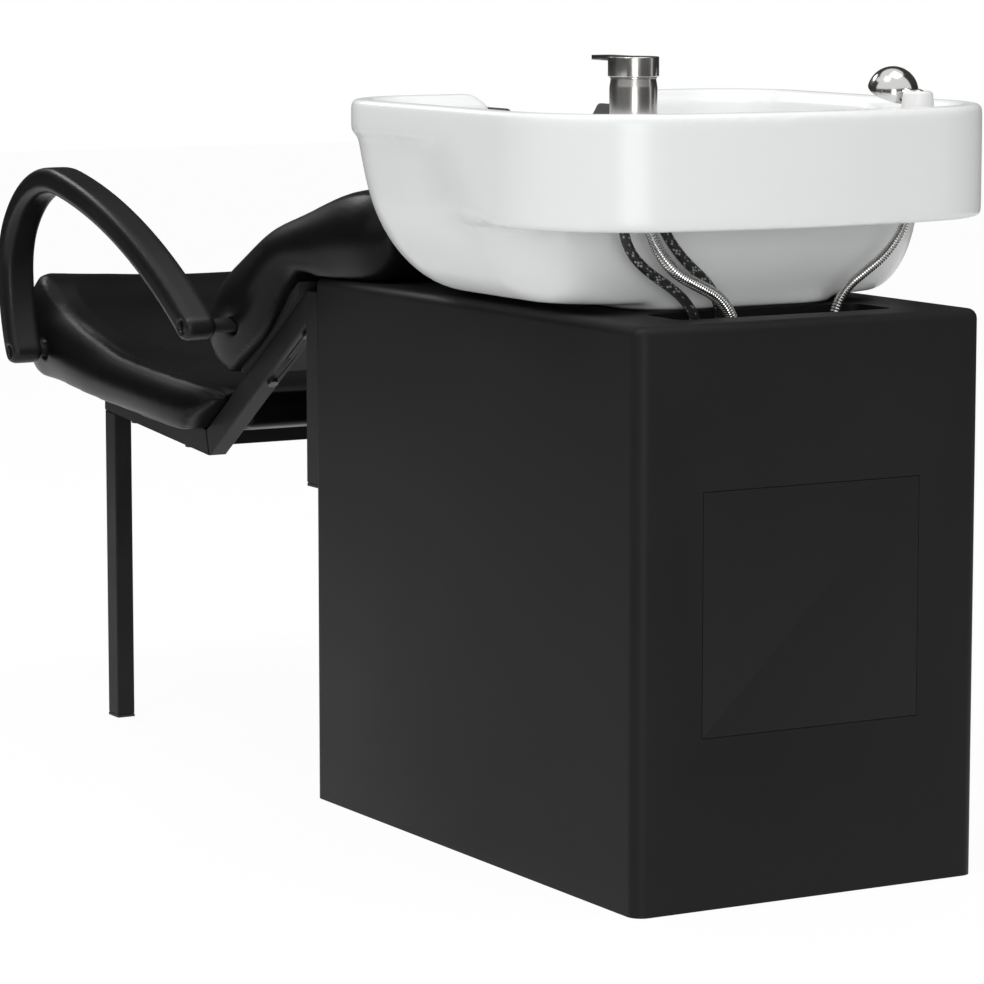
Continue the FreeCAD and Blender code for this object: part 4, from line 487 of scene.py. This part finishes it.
def braided_sleeve():
    """Black crossed strands with a few light threads among them."""
    material, tree, shader = new_material("braided_sleeve")
    shader.inputs["Roughness"].default_value = 0.45
    wrap = tree.nodes.new("ShaderNodeUVMap")
    wrap.uv_map = "round_and_along"
    parts = tree.nodes.new("ShaderNodeSeparateXYZ")
    tree.links.new(wrap.outputs["UV"], parts.inputs["Vector"])
    around = reckon(tree, "MULTIPLY", parts.outputs["X"], STRANDS_AROUND)
    along = reckon(tree, "MULTIPLY", parts.outputs["Y"], STRANDS_PER_METRE)
    rising = reckon(tree, "ADD", around, along)
    falling = reckon(tree, "SUBTRACT", around, along)
    height = reckon(tree, "MULTIPLY", strand(tree, rising), strand(tree, falling))
    cells = tree.nodes.new("ShaderNodeCombineXYZ")
    tree.links.new(reckon(tree, "FLOOR", rising), cells.inputs["X"])
    tree.links.new(reckon(tree, "FLOOR", falling), cells.inputs["Y"])
    chance = tree.nodes.new("ShaderNodeTexWhiteNoise")
    chance.noise_dimensions = "2D"
    tree.links.new(cells.outputs["Vector"], chance.inputs["Vector"])
    thread = reckon(tree, "GREATER_THAN", chance.outputs["Value"], DARK_SHARE)
    fleck = reckon(tree, "MULTIPLY", thread, height)
    tint(tree, shader, fleck, dark=(0.012, 0.012, 0.013), light=(0.42, 0.42, 0.44))
    bump = tree.nodes.new("ShaderNodeBump")
    bump.inputs["Strength"].default_value = 0.6
    bump.inputs["Distance"].default_value = 0.0008
    tree.links.new(height, bump.inputs["Height"])
    tree.links.new(bump.outputs["Normal"], shader.inputs["Normal"])
    return material


black_braid = braided_sleeve()
for name, route, radius, far_end, fitting in (
    ("hot_hose", hot_route, 0.005, "connector", "hot_union"),
    ("cold_hose", cold_route, 0.005, "connector", "cold_union"),
    ("outlet_hose", outlet_route, 0.0065, "connector", "hose_coupling"),
    ("shower_hose", shower_route, 0.005, "object", None),
):
    line = hose_line(name, route)
    braided = name in ("hot_hose", "cold_hose")
    groove = radius - RIB_DEPTH
    radii = [radius] if braided else [groove, radius, radius, groove]
    mesh, length = hose_tube(name, line, radii, BRAID_STEP if braided else RIB_STEP)
    tube = bpy.data.objects.new(name + "_look", mesh)
    scene.collection.objects.link(tube)
    dress(tube, black_braid if braided else polished_chrome)
    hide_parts(name)
    if name == "shower_hose":
        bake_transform(tube)
    else:
        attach(tube, "unit")
for name in ("hot_union", "cold_union", "hose_coupling"):
    dress(node[name], polished_chrome)

# Seat frame: rectangular steel tube, mitred and welded, powder-coated black, with plastic plugs in
# its open ends. Two bars are bolted through the cabinet's front wall to plates inside.
powder_coat = finish(
    "powder_coat", dark=(0.013, 0.013, 0.0133), light=(0.018, 0.018, 0.0183),
    smooth=0.4, rough=0.5, shade_scale=10.0, grain_scale=1800.0, grain_depth=0.25,
    specular_ior_level=0.15,
)
for name in ("leg", "seat_rail", "back_rail", "mount_bar"):
    for side in ("left", "right"):
        softened(f"{name}_{side}", "unit", powder_coat, edge=0.0018)
softened("cross_tubes", "unit", powder_coat, edge=0.0015)
softened("tube_caps", "unit", soft_rubber, edge=0.0008)
black_steel = finish(
    "black_steel", dark=(0.05, 0.05, 0.052), light=(0.09, 0.09, 0.092), smooth=0.3, rough=0.42,
    shade_scale=60.0, metallic=1.0,
)
for name in ("bar_bolts", "seat_screws", "back_screws"):
    dress(node[name], black_steel)
dress(node["bar_plates"], zinc_steel)

# Boards and arm blocks: plywood panels, stained black and screwed to the rails, with hardwood
# blocks glued to their ends that take the armrest bolts. Cushions hide most of them.
hardwood = plywood_grain("hardwood", dark=(0.2, 0.11, 0.05), light=(0.36, 0.22, 0.11))
stained_ply = plywood_grain("stained_ply", dark=(0.006, 0.006, 0.006), light=(0.014, 0.013, 0.012))
dress(node["seat_board"], stained_ply)
dress(node["back_board"], stained_ply)
dress(node["arm_blocks"], hardwood)

# Armrests: loops of self-skinned polyurethane foam, satin black, each on two bolts with black
# spacers, whose heads sit deep in the outer face.
arm_skin = finish(
    "arm_skin", dark=(0.008, 0.008, 0.0083), light=(0.011, 0.011, 0.0113), smooth=0.3, rough=0.38,
    shade_scale=8.0, grain_scale=1500.0, grain_depth=0.15, specular_ior_level=0.25,
)
for name in ("armrest_left", "armrest_right"):
    arm_loop = worn_skin(joined_mesh(name), voxel=0.0025, passes=6)
    stand_for(arm_loop, "unit", arm_skin, name)
softened("arm_spacers", "unit", powder_coat, edge=0.0006)
softened("arm_bolts", "unit", black_steel, edge=0.0005)

# Cushions: moulded foam in black vinyl, pulled over the boards and stapled below, so the cover is
# tight, crowned in the middle and drawn in along its lower edges. A seam follows its upper edges.
black_vinyl = finish(
    "black_vinyl", dark=(0.004, 0.004, 0.0043), light=(0.006, 0.006, 0.0063),
    smooth=0.28, rough=0.36, shade_scale=9.0, grain_scale=700.0, grain_depth=0.25,
    specular_ior_level=0.14,
)
COVER_VOXEL = 0.0045
CLOTH_FRAMES, MOST_SWELL, EVEN_PASSES = 20, 0.006, 60
SEAM_WIDTH, SEAM_DEPTH = 0.007, 0.0013
# The back's slope, what its thickness gains at its lower and upper end, and the shares of its
# points that lie under the part that stays and under the part that moves in full.
BACK_SLOPE, LOW_GAIN, HIGH_GAIN = math.radians(39.2), -0.014, 0.004
STAYS_PERCENT, MOVES_PERCENT = 25, 85
seat_seam = [
    (0, -0.685, 0.499), (0.198, -0.685, 0.505), (0.212, -0.678, 0.523), (0.222, -0.655, 0.523),
    (0.226, -0.605, 0.498), (0.226, -0.525, 0.47), (0.223, -0.425, 0.45), (0.219, -0.345, 0.442),
    (0.214, -0.292, 0.436), (0.206, -0.25, 0.431), (0.188, -0.208, 0.416), (0, -0.208, 0.415),
]
back_seam = [
    (0, -0.202, 0.496), (0.178, -0.202, 0.496), (0.202, -0.214, 0.536), (0.21, -0.187, 0.564),
    (0.209, -0.121, 0.5975), (0.202, -0.06, 0.624), (0.192, 0.005, 0.6455), (0.181, 0.092, 0.666),
    (0.17, 0.139, 0.66), (0.15, 0.153, 0.641), (0, 0.153, 0.641),
]


def seat_held(point):
    """Whether a point of the seat's cover is below the sloped line where it is stapled."""
    return point[2] < 0.43 + 0.0875 * (-point[1] - 0.27)


def back_held(point):
    """Whether a point of the back's cover is in its lower part, which stays as it is."""
    return point[2] < 0.575


def puff(mesh, name, is_held):
    """A cushion's cover blown up a little by cloth pressure, held where it meets its board."""
    pad = bpy.data.objects.new(name + "_cover", mesh)
    scene.collection.objects.link(pad)
    before = points_of(mesh)
    held = pad.vertex_groups.new(name="held")
    held.add([i for i, point in enumerate(before) if is_held(point)], 1.0, "REPLACE")
    cloth = pad.modifiers.new("cover", "CLOTH")
    cloth.settings.use_pressure = True
    cloth.settings.uniform_pressure_force = 4.0
    cloth.settings.vertex_group_mass = "held"
    cloth.settings.quality = 4
    cloth.settings.tension_stiffness = 40.0
    cloth.settings.compression_stiffness = 40.0
    cloth.settings.bending_stiffness = 20.0
    cloth.settings.effector_weights.gravity = 0.0
    for step in range(1, CLOTH_FRAMES + 1):
        scene.frame_set(step)
    blown = pad.evaluated_get(bpy.context.evaluated_depsgraph_get()).to_mesh()
    moved = evened(points_of(blown) - before, mesh, np.ones(len(before)), EVEN_PASSES)
    scene.frame_set(1)
    pad.modifiers.clear()
    size = np.linalg.norm(moved, axis=1)
    moved *= np.minimum(1.0, MOST_SWELL / np.maximum(size, 1e-9))[:, None]
    set_points(mesh, before + moved)
    bpy.data.objects.remove(pad)


def lean(mesh, slope, low, high):
    """A sloped cushion made thinner at its lower end and fuller at its upper one, off its board."""
    points = points_of(mesh)
    along = points @ np.array((0.0, math.cos(slope), math.sin(slope)))
    outward = np.array((0.0, -math.sin(slope), math.cos(slope)))
    height = points @ outward
    stays, moves = np.percentile(height, STAYS_PERCENT), np.percentile(height, MOVES_PERCENT)
    share = np.clip((height - stays) / (moves - stays), 0.0, 1.0)
    rise = (along - along.min()) / (along.max() - along.min())
    set_points(mesh, points + (share * (low + (high - low) * rise))[:, None] * outward)


def seam_pull(mesh, path):
    """How far a seam along a path, the same on both sides, draws in each point of a cover."""
    points = points_of(mesh)
    points[:, 0] = np.abs(points[:, 0])
    nearest = np.full(len(points), np.inf)
    for start, end in zip(np.array(path[:-1]), np.array(path[1:])):
        span = end - start
        share = np.clip((points - start) @ span / (span @ span), 0.0, 1.0)
        away = np.linalg.norm(points - start - share[:, None] * span, axis=1)
        nearest = np.minimum(nearest, away)
    return SEAM_DEPTH * np.clip(1.0 - (nearest / SEAM_WIDTH) ** 2, 0.0, 1.0) ** 2


for name, is_held, path in (
    ("seat_cushion", seat_held, seat_seam), ("back_cushion", back_held, back_seam),
):
    mesh = worn_skin(joined_mesh(name), voxel=COVER_VOXEL, passes=6)
    pull = seam_pull(mesh, path)
    if name == "back_cushion":
        lean(mesh, BACK_SLOPE, LOW_GAIN, HIGH_GAIN)
    puff(mesh, name, is_held)
    set_points(mesh, np.array([v.co - v.normal * p for v, p in zip(mesh.vertices, pull)]))
    pad = stand_for(mesh, "unit", black_vinyl, name)
    pad.modifiers.new("skin", "SUBSURF").render_levels = 1

# Stage: a white floor that keeps a faint shadow, a white surround, dark screens that only polished
# pieces reflect, four soft lamps, and the camera at the photograph's place.
FLOOR_REACH, FLOOR_GLOW_SHARE = 12, 0.93
SCREEN_RADIUS, SCREEN_FOOT, HALF_FACETS = 3.2, 0.02, 4


def seen_directly(tree, share):
    """A factor of the given share for rays from the camera, a mirror or a glass, 0 for others."""
    path = tree.nodes.new("ShaderNodeLightPath")
    seen = reckon(tree, "ADD", path.outputs["Is Camera Ray"], path.outputs["Is Glossy Ray"])
    seen = reckon(tree, "MAXIMUM", seen, path.outputs["Is Transmission Ray"])
    factor = reckon(tree, "MULTIPLY", seen, share)
    factor.node.use_clamp = True
    return factor


def blend_shaders(tree, factor, first, second, end):
    """Two shaders, mixed by a factor, on their way to the tree's end."""
    blend = tree.nodes.new("ShaderNodeMixShader")
    tree.links.new(factor, blend.inputs["Fac"])
    tree.links.new(first, blend.inputs[1])
    tree.links.new(second, blend.inputs[2])
    tree.links.new(blend.outputs["Shader"], tree.nodes[end].inputs["Surface"])


def stage_sheet(name, corners, faces, material):
    """A sheet of the stage, which is no part of the object."""
    mesh = bpy.data.meshes.new(name)
    mesh.from_pydata(corners, [], faces)
    sheet = bpy.data.objects.new(name, mesh)
    scene.collection.objects.link(sheet)
    dress(sheet, material)


floor_white, tree, shader = new_material("floor_white")
shader.inputs["Base Color"].default_value = (0.78, 0.78, 0.78, 1.0)
shader.inputs["Roughness"].default_value = 0.9
glow = tree.nodes.new("ShaderNodeEmission")
glow.inputs["Strength"].default_value = 1.02
seen = seen_directly(tree, FLOOR_GLOW_SHARE)
blend_shaders(tree, seen, shader.outputs["BSDF"], glow.outputs["Emission"], "Material Output")
floor_corners = [
    (x * FLOOR_REACH, y * FLOOR_REACH, 0) for x, y in ((-1, -1), (1, -1), (1, 1), (-1, 1))
]
stage_sheet("floor", floor_corners, [(0, 1, 2, 3)], floor_white)

world = bpy.data.worlds.new("surround")
scene.world = world
world.use_nodes = True
tree = world.node_tree
plain = tree.nodes["Background"]
plain.inputs["Color"].default_value = (1.0, 1.0, 1.0, 1.0)
plain.inputs["Strength"].default_value = 0.5
bright = tree.nodes.new("ShaderNodeBackground")
bright.inputs["Color"].default_value = (1.0, 1.0, 1.0, 1.0)
seen = seen_directly(tree, 1.0)
blend_shaders(
    tree, seen, plain.outputs["Background"], bright.outputs["Background"], "World Output"
)

for name, bearing, spread, height, shade in (
    ("screen_left", 20.0, 38.0, 1.5, 0.1), ("screen_right", 104.0, 30.0, 1.5, 0.1),
    ("screen_far_right", 180.0, 38.0, 5.0, 0.01), ("screen_far_left", 262.0, 44.0, 5.0, 0.01),
    ("screen_front", 310.0, 32.0, 3.2, 0.02),
):
    drape, tree, shader = new_material(name + "_cloth")
    shader.inputs["Base Color"].default_value = (shade, shade, shade, 1.0)
    clear = tree.nodes.new("ShaderNodeBsdfTransparent")
    mirrored = tree.nodes.new("ShaderNodeLightPath").outputs["Is Glossy Ray"]
    blend_shaders(tree, mirrored, clear.outputs["BSDF"], shader.outputs["BSDF"], "Material Output")
    steps = range(-HALF_FACETS, HALF_FACETS + 1)
    turns = [math.radians(bearing + spread * k / HALF_FACETS) for k in steps]
    low = [(SCREEN_RADIUS * math.cos(a), SCREEN_RADIUS * math.sin(a), SCREEN_FOOT) for a in turns]
    high = [(x, y, height) for x, y, _ in low]
    count = len(turns)
    facets = [(k, k + 1, k + 1 + count, k + count) for k in range(count - 1)]
    stage_sheet(name, low + high, facets, drape)

for name, place, target, size, power in (
    ("lamp_left", (1.7, 0.9, 3.9), (0.0, 0.1, 0.5), 1.0, 48.0),
    ("lamp_top", (-0.4, 1.0, 3.6), (0.0, 0.2, 0.4), 1.6, 28.0),
    ("lamp_fill", (1.6, 4.2, 0.8), (0.0, 0.4, 0.5), 1.5, 34.0),
    ("lamp_front", (0.7, -3.0, 2.6), (0.0, -0.2, 0.5), 1.2, 28.0),
):
    light = bpy.data.lights.new(name, "AREA")
    light.size = size
    light.energy = power
    lamp = bpy.data.objects.new(name, light)
    scene.collection.objects.link(lamp)
    lamp.location = place
    lamp.rotation_euler = (Vector(target) - Vector(place)).to_track_quat("-Z", "Y").to_euler()

lens = bpy.data.cameras.new("camera")
lens.sensor_width = 36.0
lens.lens = 155.9
camera = bpy.data.objects.new("camera", lens)
scene.collection.objects.link(camera)
camera.location = (2.2995, 4.0733, 0.9545)
camera.rotation_euler = (math.radians(82.293), 0.0, math.radians(150.262))
scene.camera = camera
scene.view_settings.view_transform = "Standard"
